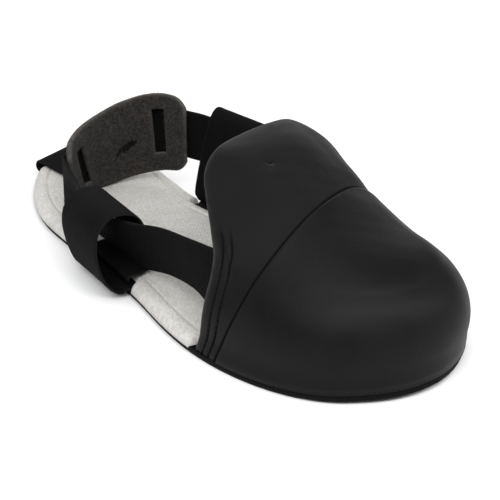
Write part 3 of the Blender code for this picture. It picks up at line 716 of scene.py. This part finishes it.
def arch(bottom, share, roundness, slope=0.0, bulge=0.0):
    """Column of points from a sole-edge point up to the ridge point."""
    out = np.cos(share * math.pi / 2).clip(0) ** (2 / roundness)
    up = np.sin(share * math.pi / 2).clip(0) ** (2 / roundness)
    reach = np.linalg.norm((bottom - RIDGE)[:2])
    go = out + bulge / reach * np.sin(math.pi * np.minimum(up / 0.7, 1))
    z = bottom[2] + (RIDGE[2] - bottom[2]) * up - slope * reach * out * (1 - out)
    return np.c_[RIDGE[:2] + (bottom - RIDGE)[:2] * go[:, None], z]


print("cover height in mm:", RIM_OUTER[-1][3])

# %% Columns of the toe cover
cover_edge = edge + COVER_INSET * edge_in
toe_end = int(np.argmax(cover_edge[:, 0]))


def edge_at(x, inner):
    """Sole-edge point under the cover at x, on the inner or the outer side."""
    side = cover_edge[:toe_end] if inner else cover_edge[toe_end:]
    side = side[np.argsort(side[:, 0])]
    return np.array((x, np.interp(x, side[:, 0], side[:, 1]), COVER_FOOT + toe_lift(x)))


def seam_column(column, inner, roundness):
    """Column of points along the seam on one side."""
    points = arch(edge_at(SEAM[0][column], inner), shares, roundness)
    points[:, 0] = column_at(SEAM, shares)[:, column - 1]
    return points


seam_outer = seam_column(1, False, ROUND_OUTER)
seam_inner = seam_column(2, True, ROUND_INNER)
walk = cover_edge[(cover_edge[:, 0] > TOE_FROM_X) | (np.arange(EDGE_STEPS) == toe_end)]
walk = np.r_[seam_inner[:1, :2], walk[1:-1], seam_outer[:1, :2]][::-1]
run = np.r_[0, np.cumsum(np.linalg.norm(np.diff(walk, axis=0), axis=1))]


def toe_column(u):
    """Column of the toe panel, u from 0 at the outer seam to 1 at the inner."""
    x, y = (np.interp(u * run[-1], run, walk[:, c]) for c in (0, 1))
    bottom = np.array((x, y, COVER_FOOT + toe_lift(x)))
    ahead = (bottom - RIDGE)[:2]
    forward = max(0.0, ahead[0] / np.linalg.norm(ahead))
    side = ROUND_OUTER + (ROUND_INNER - ROUND_OUTER) * float(ease(0.3, 0.7, u))
    ahead = ROUND_TOE + (ROUND_TOE_INNER - ROUND_TOE) * float(ease(0.6, 0.85, u))
    points = arch(bottom, shares, side + (ahead - side) * forward ** 2, TOE_TILT * forward, TOE_BULGE * forward)
    for far, seam, roundness in ((u, seam_outer, ROUND_OUTER), (1 - u, seam_inner, ROUND_INNER)):
        near = 1 - far / 0.3
        points[:, 0] += max(0.0, near) ** 2 * (seam[:, 0] - arch(seam[0], shares, roundness)[:, 0])
    return points


def flap_column(t, rim, seam, toe_next):
    """Column of the flap, t from 0 at the rear edge to 1 at the seam."""
    chord = seam - rim
    leave = chord * np.c_[np.ones_like(shares), np.ones_like(shares), 1 - FLAP_CURL * ease(0.4, 0.75, shares)]
    stretch = np.linalg.norm(seam[0] - rim[0]) / np.linalg.norm(toe_next[0] - seam[0])
    return (rim * (2 * t ** 3 - 3 * t * t + 1) + leave * (t ** 3 - 2 * t * t + t)
            + seam * (3 * t * t - 2 * t ** 3) + (toe_next - seam) * stretch * (t ** 3 - t * t))


print("toe panel along the sole in mm:", round(run[-1], 1))

# %% [markdown]
# The columns crowd close to the seam and to the rear edges, where fine relief
# is needed. They are then joined into one sheet: the two halves of the flap
# share the ridge line, and all the toe's columns share the ridge point.

# %% Sheet of the toe cover
near_seam = np.array((0.0, 0.0012, 0.0024, 0.0036, 0.0052, 0.0075, 0.0105))
toe_us = np.r_[near_seam, np.linspace(0.015, 0.985, TOE_STEPS), 1 - near_seam[::-1]]
flap_ts = np.unique(np.r_[np.linspace(0, 1, FLAP_STEPS + 1), np.linspace(0.40, 0.51, 17)].round(5))[:-1]
rim_outer, rim_inner = column_at(RIM_OUTER, shares), column_at(RIM_INNER, shares)
columns = [flap_column(t, rim_outer, seam_outer, toe_column(1 / 40)) for t in flap_ts]
columns += [toe_column(u) for u in toe_us]
columns += [flap_column(t, rim_inner, seam_inner, toe_column(1 - 1 / 40)) for t in flap_ts[::-1]]
grid = np.array(columns)
wide, tall = grid.shape[:2]
toe_from, toe_to = len(flap_ts), len(flap_ts) + len(toe_us) - 1
number = np.arange(wide * tall).reshape(wide, tall)
number[toe_from:toe_to + 1, -1] = number[toe_from, -1]
number[toe_to + 1:, -1] = number[:toe_from, -1][::-1]
used, number = np.unique(number, return_inverse=True)
number = number.reshape(wide, tall)
plain = grid.reshape(-1, 3)[used]
sheet_faces = [list(dict.fromkeys(face)) for face in grid_faces(number)]
draft = bpy.data.meshes.new("draft")
draft.from_pydata(plain.tolist(), [], sheet_faces)
facing = np.zeros(plain.size, np.float32)
draft.vertices.foreach_get("normal", facing)
bpy.data.meshes.remove(draft)
facing = unit(facing.reshape(-1, 3).astype(float))
if facing[number[wide // 2, 3], 0] < 0:
    facing = -facing
    sheet_faces = [f[::-1] for f in sheet_faces]
print("cover sheet:", wide, "columns of", tall, "points")

# %% [markdown]
# The columns leave a slight point where they meet at the ridge, and a real sheet
# is drawn smooth over it. Each point near the ridge moves out or in towards the
# mean of the sheet round it. The mean is weighted by area, because the points
# crowd there. Four broad places then swell or sink a little.

# %% Smooth ridge of the toe cover
RIDGE_SOFT, RIDGE_REACH, RIDGE_POOL, RIDGE_SPREAD = 11.0, 24.0, 36.0, 5.0
sheet_points = plain.copy()
corners = np.array([f + f[-1:] * (4 - len(f)) for f in sheet_faces])
across = [plain[corners[:, k + 2]] - plain[corners[:, k]] for k in (0, 1)]
area = np.bincount(corners.ravel(), np.repeat(np.linalg.norm(np.cross(*across), axis=1), 4), len(plain))
ridge_far = reach_of(plain, plain[number[:toe_from + 1, -1]])
rear_far = np.minimum(reach_of(plain, rim_outer), reach_of(plain, rim_inner))
soft = np.exp(-(ridge_far / RIDGE_SOFT) ** 2) * ease(2.0, 12.0, rear_far)
pool = np.where(ridge_far < RIDGE_POOL)[0]
for _ in range(2):
    before = sheet_points.copy()
    for some in np.array_split(np.where(ridge_far < RIDGE_REACH)[0], 20):
        here, there = before[some], before[pool]
        apart = (here ** 2).sum(axis=1)[:, None] + (there ** 2).sum(axis=1) - 2 * here @ there.T
        weight = area[pool] * np.exp(-apart / RIDGE_SPREAD ** 2)
        shift = weight @ there / weight.sum(axis=1, keepdims=True) - here
        sheet_points[some] += facing[some] * (soft[some] * (shift * facing[some]).sum(axis=1))[:, None]
# columns: x, y, z of a place on the sheet, how far it reaches, how much it swells
FULLER = [
    (226.0, 22.0, 62.0, 15.0, 2.4), (199.0, 31.0, 68.0, 16.0, 2.4), (259.0, 24.0, 54.0, 13.0, -2.2),
    (298.0, 22.0, 32.0, 19.0, 1.8),
]
for *place, span, swell in FULLER:
    near = np.exp(-(np.linalg.norm(plain - place, axis=1) / span) ** 2)
    sheet_points = sheet_points + facing * (swell * near * ease(0.0, 12.0, plain[:, 2] - COVER_FOOT))[:, None]
print("ridge and panels move in mm, at most:", np.linalg.norm(sheet_points - plain, axis=1).max().round(1))

# %% [markdown]
# Relief is added along the surface's own direction: the toe panel stands a
# little proud with a narrow groove at the seam, two sewn lines run up the rear
# edge to a little above the strap, a small dent marks the flap, and slow waves
# take the machine-made look away. The wall is then closed all round.

# %% Relief of the toe cover
GROOVE_DEEP, GROOVE_WIDE, FOOT_OUT, FOOT_DOWN = 0.5, 0.5, 1.4, 0.3
HEMS, HEM_DEEP, HEM_WIDE, HEM_FADE = (4.2, 8.2), 0.45, 0.45, (53.0, 58.0)
seam_line = np.r_[seam_outer, seam_inner[::-1]]
seam_line = np.concatenate([seam_line[:-1] + (seam_line[1:] - seam_line[:-1]) * f for f in (0, 0.25, 0.5, 0.75)])
on_toe = np.zeros(len(sheet_points), bool)
on_toe[np.unique(number[toe_from + 1:toe_to, :-1])] = True
seam_far = reach_of(plain, seam_line)
relief = SEAM_STEP * on_toe * ease(0.1, 1.2, seam_far) - GROOVE_DEEP * np.exp(-(seam_far / GROOVE_WIDE) ** 2)
rim_far = np.minimum(reach_of(sheet_points, rim_outer), reach_of(sheet_points, rim_inner))
on_hem = (1 - ease(*HEM_FADE, sheet_points[:, 2])) * ~on_toe
for line_far in HEMS:
    relief -= HEM_DEEP * on_hem * np.exp(-((rim_far - line_far) / HEM_WIDE) ** 2)
relief += 0.08 * on_hem * np.exp(-((rim_far - np.mean(HEMS)) / 1.5) ** 2)
high = sheet_points[:, 2] > 60
dent_at = sheet_points[np.argmin(np.hypot(*(sheet_points[:, :2] - DENT).T) + 99 * ~high)]
dent = np.linalg.norm(sheet_points - dent_at, axis=1)
relief -= 1.3 * np.exp(-(dent / 1.1) ** 2) + 0.25 * np.exp(-(dent / 4.5) ** 2)
calm = ease(0.0, 10.0, sheet_points[:, 2] - COVER_FOOT)
foot_z = COVER_FOOT + toe_lift(sheet_points[:, 0])
low_down = 1 - ease(0.0, 9.0, sheet_points[:, 2] - foot_z)
relief += FOOT_OUT * low_down
relief += calm * (0.22 * slow_waves(sheet_points, 46.0, 5) + 0.06 * slow_waves(sheet_points, 14.0, 9))
outside = sheet_points + facing * relief[:, None]
outside[:, 2] -= FOOT_DOWN * low_down
inside = sheet_points - facing * WALL
inside[:, 2] = np.where(sheet_points[:, 2] < foot_z + 0.01, sheet_points[:, 2], inside[:, 2])
print("relief in mm:", relief.min().round(2), "to", relief.max().round(2))

# %% Wall and rounded rear edge of the toe cover
BEADS, EDGE_ROUND = 7, 0.85
count = len(sheet_points)
rim_ids = np.r_[number[0], number[-1, :-1][::-1]]
next_ids = np.r_[number[1], number[-2, :-1][::-1]]
back = sheet_points[rim_ids] - sheet_points[next_ids]
back = unit(back - facing[rim_ids] * (back * facing[rim_ids]).sum(axis=1, keepdims=True))
middle = (outside[rim_ids] + inside[rim_ids]) / 2
half = (outside[rim_ids] - inside[rim_ids]) / 2
bends = [math.pi * b / BEADS for b in range(1, BEADS)]
bead = [middle + half * math.cos(bend) + back * EDGE_ROUND * math.sin(bend) for bend in bends]
points = np.concatenate([outside, inside] + bead)
bead_ids = np.arange(2 * count, len(points)).reshape(len(bends), -1)
ring = np.r_[[rim_ids], bead_ids, [count + rim_ids]]
closing = grid_faces(ring.T) + grid_faces(np.c_[count + number[:, 0], number[:, 0]])
closing += [ring[:, end].tolist() for end in (0, -1)]
faces = sheet_faces + [[count + i for i in reversed(f)] for f in sheet_faces] + closing
groups = [0] * len(sheet_faces) + [1] * len(sheet_faces) + [0] * len(closing)
# Rim values: paler near the rear edges and on the rounded edge, part wear and part painted highlight.
edge_tone = np.r_[np.exp(-rim_far / 0.7), np.zeros(count), np.full(bead_ids.size, 0.9)]
# Painted shade: the hem grooves, the seam groove and the dent get a value that darkens them.
groove_shade = on_hem * sum(np.exp(-((rim_far - line_far) / 0.6) ** 2) for line_far in HEMS)
groove_shade += np.exp(-(seam_far / 0.75) ** 2) + 0.8 * np.exp(-(dent / 0.9) ** 2)
groove_shade_values = np.r_[np.minimum(groove_shade, 1), np.zeros(len(points) - count)]
cover = make_piece("toe_cover", points, faces, [cover_black, lining_black], groups=groups,
                   rim=edge_tone, crease=groove_shade_values)
face_outward(cover)
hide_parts("upper")

# %% [markdown]
# All the straps are flat webbing about a millimetre and a half thick. A band is
# swept along rows that give its middle and its half width, so it can twist as
# it goes round the heel. Its section is flat with a slightly thicker selvedge
# and rounded edges, and its flat map unrolls it, so the threads follow it.


# %% Helper for bands
def band(name, rows, seed, thick=1.5, step=1.0):
    """A webbing band along rows of x, y, z and a half-width vector."""
    rows = np.asarray(rows, float)
    length = np.linalg.norm(np.diff(rows[:, :3], axis=0), axis=1).sum()
    stations = through_rows(rows, np.linspace(0, 1, int(length / step) + 1))
    here, half = stations[:, :3], stations[:, 3:]
    run = np.r_[0, np.cumsum(np.linalg.norm(np.diff(here, axis=0), axis=1))]
    up = unit(np.cross(half, unit(np.gradient(here, axis=0))))
    side = np.r_[-1, -0.985, -0.955, -0.91, np.linspace(-0.82, 0.82, 11), 0.91, 0.955, 0.985, 1]
    swell = 1 - 0.85 * np.clip((np.abs(side) - 0.93) / 0.07, 0, 1) ** 2 - 0.10 * (np.abs(side) < 0.85)
    sway = 0.10 * slow_waves(here, 34.0, seed)
    points, flat, rim = [], [], []
    for face, order in ((1, 1), (-1, -1)):
        for s, w in list(zip(side, swell))[::order]:
            points.append(here + half * s + up * (face * thick / 2 * w + sway)[:, None])
            flat.append(np.c_[run, np.full(len(run), s) * np.linalg.norm(half, axis=1)])
            rim.append(np.exp(-(1 - abs(s)) * np.linalg.norm(half, axis=1) / 0.45))
    ids = np.arange(len(points) * len(here)).reshape(len(points), len(here))
    faces = grid_faces(np.r_[ids, ids[:1]].T) + [ids[:, 0].tolist(), ids[::-1, -1].tolist()]
    piece = make_piece(name, np.concatenate(points), faces, [webbing_black],
                       flat=np.concatenate(flat), rim=np.concatenate(rim))
    face_outward(piece)
    return piece


# %% [markdown]
# One long band holds the foot. It starts inside the toe cover on the outer
# side, runs back through a loop, goes round the heel behind the felt pad, and
# returns through the other loop. It stands up by itself, because such webbing
# is stiff on edge.

# %% Ankle band
PAD_THICK, PAD_HEIGHT, PAD_RADIUS = 3.2, 36.0, 32.4
PAD_CENTRE, PAD_ENDS = (93.4, -2.3), (236.0, 96.0)
BAND_HALF, BAND_OFF, BAND_FLARE, ARC_STEPS = 13.2, 1.05, 1.15, 13
# columns: x, y, z of the band's middle, then y and z of its half width
BAND_OUTER = [
    (232.0, -49.7, 33.5, 5.6, 12.0), (216.0, -50.9, 34.4, 2.6, 12.9), (198.0, -50.2, 34.6, -1.5, 13.1),
    (175.0, -47.2, 30.4, -2.5, 12.95), (152.0, -46.9, 24.6, -3.2, 12.8), (130.0, -46.6, 22.9, -6.0, 11.75),
    (112.0, -43.6, 22.4, -5.5, 12.0), (94.0, -38.8, 23.4, -2.5, 12.95),
]
BAND_INNER = [
    (106.0, 31.9, 41.0, 0.0, 13.2), (128.0, 31.7, 41.8, 0.0, 13.2), (150.0, 34.0, 40.5, 0.0, 13.2),
    (180.0, 38.0, 37.5, -1.0, 13.15), (205.0, 38.8, 34.8, -2.6, 12.9), (220.0, 36.4, 33.6, -4.5, 12.4),
    (232.0, 34.0, 33.0, -5.6, 12.0),
]
# columns: share along the pad, height of its middle, its height, its lean in degrees, its
# flare, height of the band's middle
PAD_SHAPE = [
    (0.0, 26.2, 36.6, 18.0, 2.2, 24.4), (0.2, 27.6, 38.4, 17.0, 1.1, 25.4), (0.4, 29.6, 41.2, 11.0, 0.0, 29.2),
    (0.6, 33.7, 42.8, 7.0, 0.0, 34.0), (0.8, 37.4, 43.0, 3.0, 0.0, 37.2), (1.0, 38.2, 40.0, 0.0, 0.0, 38.4),
]
around = np.linspace(0, 1, ARC_STEPS)
turns = np.radians(PAD_ENDS[0] + (PAD_ENDS[1] - PAD_ENDS[0]) * around)
shape = column_at(PAD_SHAPE, around)
arc_radius = PAD_RADIUS + PAD_THICK / 2 + BAND_OFF + BAND_FLARE * shape[:, 3]
arc = np.c_[PAD_CENTRE[0] + arc_radius * np.cos(turns), PAD_CENTRE[1] + arc_radius * np.sin(turns),
            shape[:, 4], np.zeros(ARC_STEPS), np.full(ARC_STEPS, BAND_HALF)]
route = np.r_[BAND_OUTER, arc, BAND_INNER]
ankle_band = band("ankle_band", np.insert(route, 3, 0.0, axis=1), seed=21)
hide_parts("ankle_strap")

# %% [markdown]
# Two wide loops of the same webbing are sewn in between insole and sole. The
# outer one has slumped into a round ring, and the inner one stands taller and
# leans forward. A short strap comes up from the heel end of the sole, lies along
# the insole with a slight twist, and turns up behind the pad.

# %% Loops and heel strap
TAIL_Z = 4.45
# columns: inward of the sole edge, z
LOOP_OUTER = [
    (13.0, TAIL_Z), (3.0, TAIL_Z), (-1.4, 4.2), (-3.6, 3.5), (-6.6, 4.0), (-9.8, 8.0), (-12.6, 16.0),
    (-13.4, 25.0), (-11.2, 33.0), (-5.0, 38.2), (3.0, 38.8), (10.4, 35.0), (14.4, 25.0), (14.8, 15.0),
    (13.2, 11.4), (9.2, 10.15), (5.5, 10.1), (2.0, 9.7), (0.5, 8.0),
]
LOOP_INNER = [
    (13.0, TAIL_Z), (3.0, TAIL_Z), (-1.4, 5.4), (-4.3, 12.0), (-6.0, 26.0), (-5.6, 44.0), (-3.6, 58.0),
    (0.0, 62.4), (3.4, 58.0), (4.7, 44.0), (4.9, 26.0), (4.2, 14.0), (2.4, 10.2), (0.7, 8.0),
]
# columns: x, z along the outer edge of the heel strap, and how much higher its middle runs
HEEL_STRAP = [
    (24.0, TAIL_Z, 0.0), (17.0, TAIL_Z, 0.0), (12.9, 4.8, 0.1), (11.3, 6.8, 0.9), (12.8, 9.2, 2.0),
    (19.0, 10.0, 2.6), (32.0, 10.4, 2.6), (45.0, 12.0, 1.8), (52.5, 15.6, 0.6), (55.5, 23.0, 0.0), (56.0, 38.0, 0.0),
]


def loop_rows(table, place, lean, tilt=0.0, splay=0.0):
    """Rows of a loop on the sole edge; it leans along the edge, tilts and splays."""
    here, along, inward = place
    rows = []
    for step, z in table:
        rise = max(z - TAIL_Z, 0.0)
        middle = here + inward * step + along * lean * rise + np.array((0, 0, z))
        half = along * LOOP_HALF - inward * splay * ease(0.0, 6.0, abs(z - TAIL_Z)) + np.array((0, 0, tilt * rise))
        rows.append((*middle, *half))
    return rows


rows = loop_rows(LOOP_OUTER, edge_frame(LOOP_OUTER_X, False), lean=-0.17, tilt=0.045, splay=2.0)
outer_loop = band("outer_loop", rows, seed=22)
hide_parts("side_loop_lateral")
rows = loop_rows(LOOP_INNER, edge_frame(LOOP_INNER_X, True), lean=0.26)
inner_loop = band("inner_loop", rows, seed=23)
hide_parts("side_loop_medial")
rows = [(x, 0.0, z + rise, 0.0, STRAP_HALF, rise) for x, z, rise in HEEL_STRAP]
heel_strap = band("heel_tab", rows, seed=24)
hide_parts("heel_strap")

# %% [markdown]
# The heel pad is thick felt, cut with rounded corners and two slots and bent
# round the heel inside the band. It is drawn as a flat net of points with the
# slots left out. Front and back faces swell away from every cut edge, so the
# edges come out rounded. The net is then bent, and its outer end leans and
# flares. Felt is lumpy, and the sewing in its middle pulls the face in.

# %% Net of the heel pad
pad_length = round(PAD_RADIUS * math.radians(PAD_ENDS[0] - PAD_ENDS[1]), 4)


def fine_steps(cuts, longest):
    """Positions that crowd at each cut and are nowhere further apart than longest."""
    marks = set()
    for a, b in zip(cuts, cuts[1:]):
        near = [n for n in (0.0, 0.1, 0.3, 0.6, 1.0, 1.6) if n < (b - a) / 2 - 0.2]
        start, stop = a + near[-1], b - near[-1]
        marks.update([a + n for n in near] + [b - n for n in near])
        marks.update(np.linspace(start, stop, max(int((stop - start) / longest), 1) + 1))
    return np.array(sorted({round(float(m), 4) for m in marks}))


# columns: from and to along the pad, from and to up it
slots = [(13.0, 19.5, 5.6, 26.6), (pad_length - 19.5, pad_length - 13.0, 8.6, 28.8)]
along_pad = fine_steps([0.0, *slots[0][:2], *slots[1][:2], pad_length], 1.1)
up_pad = fine_steps(sorted({0.0, PAD_HEIGHT, *slots[0][2:], *slots[1][2:]}), 1.1)
s, z = (a.ravel() for a in np.meshgrid(along_pad, up_pad, indexing="ij"))
cut_far = np.minimum.reduce([s, pad_length - s, z, PAD_HEIGHT - z])
for a, b, low, high in slots:
    away = np.hypot(np.maximum.reduce([a - s, s - b, 0 * s]), np.maximum.reduce([low - z, z - high, 0 * z]))
    cut_far = np.minimum(cut_far, away)
print("pad net:", len(along_pad), "by", len(up_pad), "points, length in mm:", round(pad_length, 1))


# %% Faces of the heel pad
PAD_CORNER, PAD_EDGE = 8.0, 1.3
TACK_S, TACK_Z = pad_length * 0.56, PAD_HEIGHT * 0.41


def pad_point(s, z, lift):
    """Points of the bent pad: s along it, z up it, lift outward of its middle."""
    end = np.minimum(s, pad_length - s)
    corner = PAD_CORNER - np.sqrt(np.maximum(PAD_CORNER ** 2 - (PAD_CORNER - end) ** 2, 0))
    middle, height, lean = column_at(PAD_SHAPE, s / pad_length).T[:3]
    up = (z / PAD_HEIGHT - 0.5) * (height - 2 * np.where(end < PAD_CORNER, corner, 0))
    run = s - up * np.sin(np.radians(lean))
    reach = PAD_RADIUS + column_at(PAD_SHAPE, run / pad_length)[:, 3] + lift
    angle = math.radians(PAD_ENDS[0]) - run / PAD_RADIUS
    return np.c_[PAD_CENTRE[0] + reach * np.cos(angle), PAD_CENTRE[1] + reach * np.sin(angle),
                 middle + up * np.cos(np.radians(lean))]


def tack_pull(s, z):
    """How far the sewing in the middle draws the felt in."""
    return np.exp(-((s - TACK_S) / 5.5) ** 2 - ((z - TACK_Z) / 2.6) ** 2)


swell = PAD_THICK / 2 * np.sqrt(1 - (1 - np.clip(cut_far / PAD_EDGE, 0, 1)) ** 2)
lumps = 0.12 * slow_waves(np.c_[s, z, 0 * s], 11.0, 31) + 0.08 * slow_waves(np.c_[s, z, 0 * s], 4.5, 32)
calm = ease(0.0, 1.5, cut_far)
back_face = pad_point(s, z, swell - 0.12 * calm * np.abs(lumps))
front_face = pad_point(s, z, -swell + calm * (lumps * 1.6 + tack_pull(s, z)))
cells = np.array(grid_faces(np.arange(len(s)).reshape(len(along_pad), len(up_pad))))
mid_s, mid_z = s[cells].mean(axis=1), z[cells].mean(axis=1)
for a, b, low, high in slots:
    felt = ~((a < mid_s) & (mid_s < b) & (low < mid_z) & (mid_z < high))
    cells, mid_s, mid_z = cells[felt], mid_s[felt], mid_z[felt]
faces = np.r_[cells, len(s) + cells[:, ::-1]].tolist()
# Rim values for the felt's cut edges, which the finish paints paler: part wear, part painted highlight.
cut_tone = np.exp(-cut_far / 0.5)
pad = make_piece("felt_pad", np.r_[back_face, front_face], faces, [felt_brown], rim=np.r_[cut_tone, cut_tone])
face_outward(pad, weld=2e-6)
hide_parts("heel_pad")

# %% [markdown]
# Loose fibres stand off every felt face. A second tree scatters short, thin
# hairs over the pad, each leaning its own way, with a fixed seed.

# %% Tree: felt fibres
hairs, ins, outs = geometry_tree("felt_fibres", Per_Square_Metre=600000.0, Length=0.0016, Width=0.00007, Seed=3)
roots = add_node(hairs, "GeometryNodeDistributePointsOnFaces", links=[
    ("Mesh", ins.outputs["Geometry"]), ("Density", ins.outputs["Per Square Metre"]), ("Seed", ins.outputs["Seed"])])
lean = add_node(hairs, "FunctionNodeRandomValue", data_type="FLOAT_VECTOR", links=[
    (0, (-1.35, -1.35, 0.0)), (1, (1.35, 1.35, 6.28)), ("Seed", ins.outputs["Seed"])])
tipped = add_node(hairs, "FunctionNodeEulerToRotation", links=[("Euler", lean.outputs[0])])
turned = add_node(hairs, "FunctionNodeRotateRotation", rotation_space="LOCAL", links=[
    ("Rotation", roots.outputs["Rotation"]), ("Rotate By", tipped.outputs[0])])
hair = add_node(hairs, "GeometryNodeMeshCone", fill_type="NGON", links=[
    ("Vertices", 3), ("Radius Top", 0.15), ("Radius Bottom", 0.5), ("Depth", 1.0)])
spread(hairs, ins, outs, roots.outputs["Points"], hair.outputs["Mesh"], turned.outputs["Rotation"],
       ("Width", "Width", "Length"))
fuzz = run_tree(add_object("pad_copy", pad.data.copy()), hairs, "felt_fuzz",
                Per_Square_Metre=650000.0, Length=0.0013, Width=0.00008, Seed=3, Finish=felt_brown)

# %% [markdown]
# Sewing comes last, on finished faces. The bead tree runs along lines that are
# read off the surfaces: two rows up each rear edge of the cover, a few crossed
# strokes in the middle of the pad, and a crossed box on the heel strap.


# %% Stitches
HEM_TOP = 56.0


def hem_line(first, way, from_edge):
    """Line on the flap at a fixed distance from its rear edge, to a little above the strap."""
    line = []
    for k in range(2, tall):
        row = outside[number[first:first + way * toe_from:way, k]]
        far = np.linalg.norm(row - row[0], axis=1)
        if row[0, 2] < HEM_TOP and far[-1] > from_edge:
            line.append([np.interp(from_edge, far, row[:, c]) for c in range(3)])
    return np.array(line)


def on_pad(*corners):
    """Line on the pad's inner face through corners given along and up from the tack's middle."""
    knots = np.arange(len(corners))
    steps = np.linspace(0, knots[-1], 8 * knots[-1] + 1)
    s, z = (np.interp(steps, knots, values) for values in np.transpose(corners))
    s, z = s + TACK_S, z + TACK_Z
    return pad_point(s, z, -PAD_THICK / 2 + tack_pull(s, z) - 0.1)


hems = [hem_line(0, 1, far) for far in HEMS] + [hem_line(wide - 1, -1, far) for far in HEMS]
hem_stitches = bead_row("hem_stitches", hems, 0.0029, (0.0025, 0.0006, 0.0006), thread_black)
tack = [on_pad((-5.5, -1.6), (-2, 0.2), (1, -0.5), (5.5, 1.6)), on_pad((-3.5, -0.1), (0, 0.7), (4.2, 0.4)),
        on_pad((-1.6, -1.4), (1.8, 1.7)), on_pad((0.6, -1.2), (3.6, 2.0))]
pad_tack = bead_row("pad_tack", tack, 0.0011, (0.0018, 0.0016, 0.0012), thread_black)
BOX_X, BOX_HALF, BOX_LOW, BOX_HIGH = 55.1, 9, 25, 36
a, b, c, d = [(BOX_X, y, z) for y, z in (
    (-BOX_HALF, BOX_LOW), (BOX_HALF, BOX_LOW), (BOX_HALF, BOX_HIGH), (-BOX_HALF, BOX_HIGH))]
heel_box = bead_row("heel_box", [[a, b, c, d, a], [a, c], [d, b]], 0.0027, (0.0023, 0.0006, 0.0006), thread_black)

# %% [markdown]
# The shoe stands on a pale floor.

# %% Floor and finish
floor_pale, tree, shader, here = new_finish("floor_pale", Roughness=0.9, Specular_IOR_Level=0.15)
shader.inputs["Base Color"].default_value = (0.87, 0.87, 0.87, 1.0)
floor_mesh = bpy.data.meshes.new("floor")
floor_mesh.from_pydata([(-4, -4, 0), (4, -4, 0), (4, 4, 0), (-4, 4, 0)], [], [(0, 1, 2, 3)])
floor_mesh.materials.append(floor_pale)
floor = add_object("floor", floor_mesh)
bpy.context.view_layer.update()
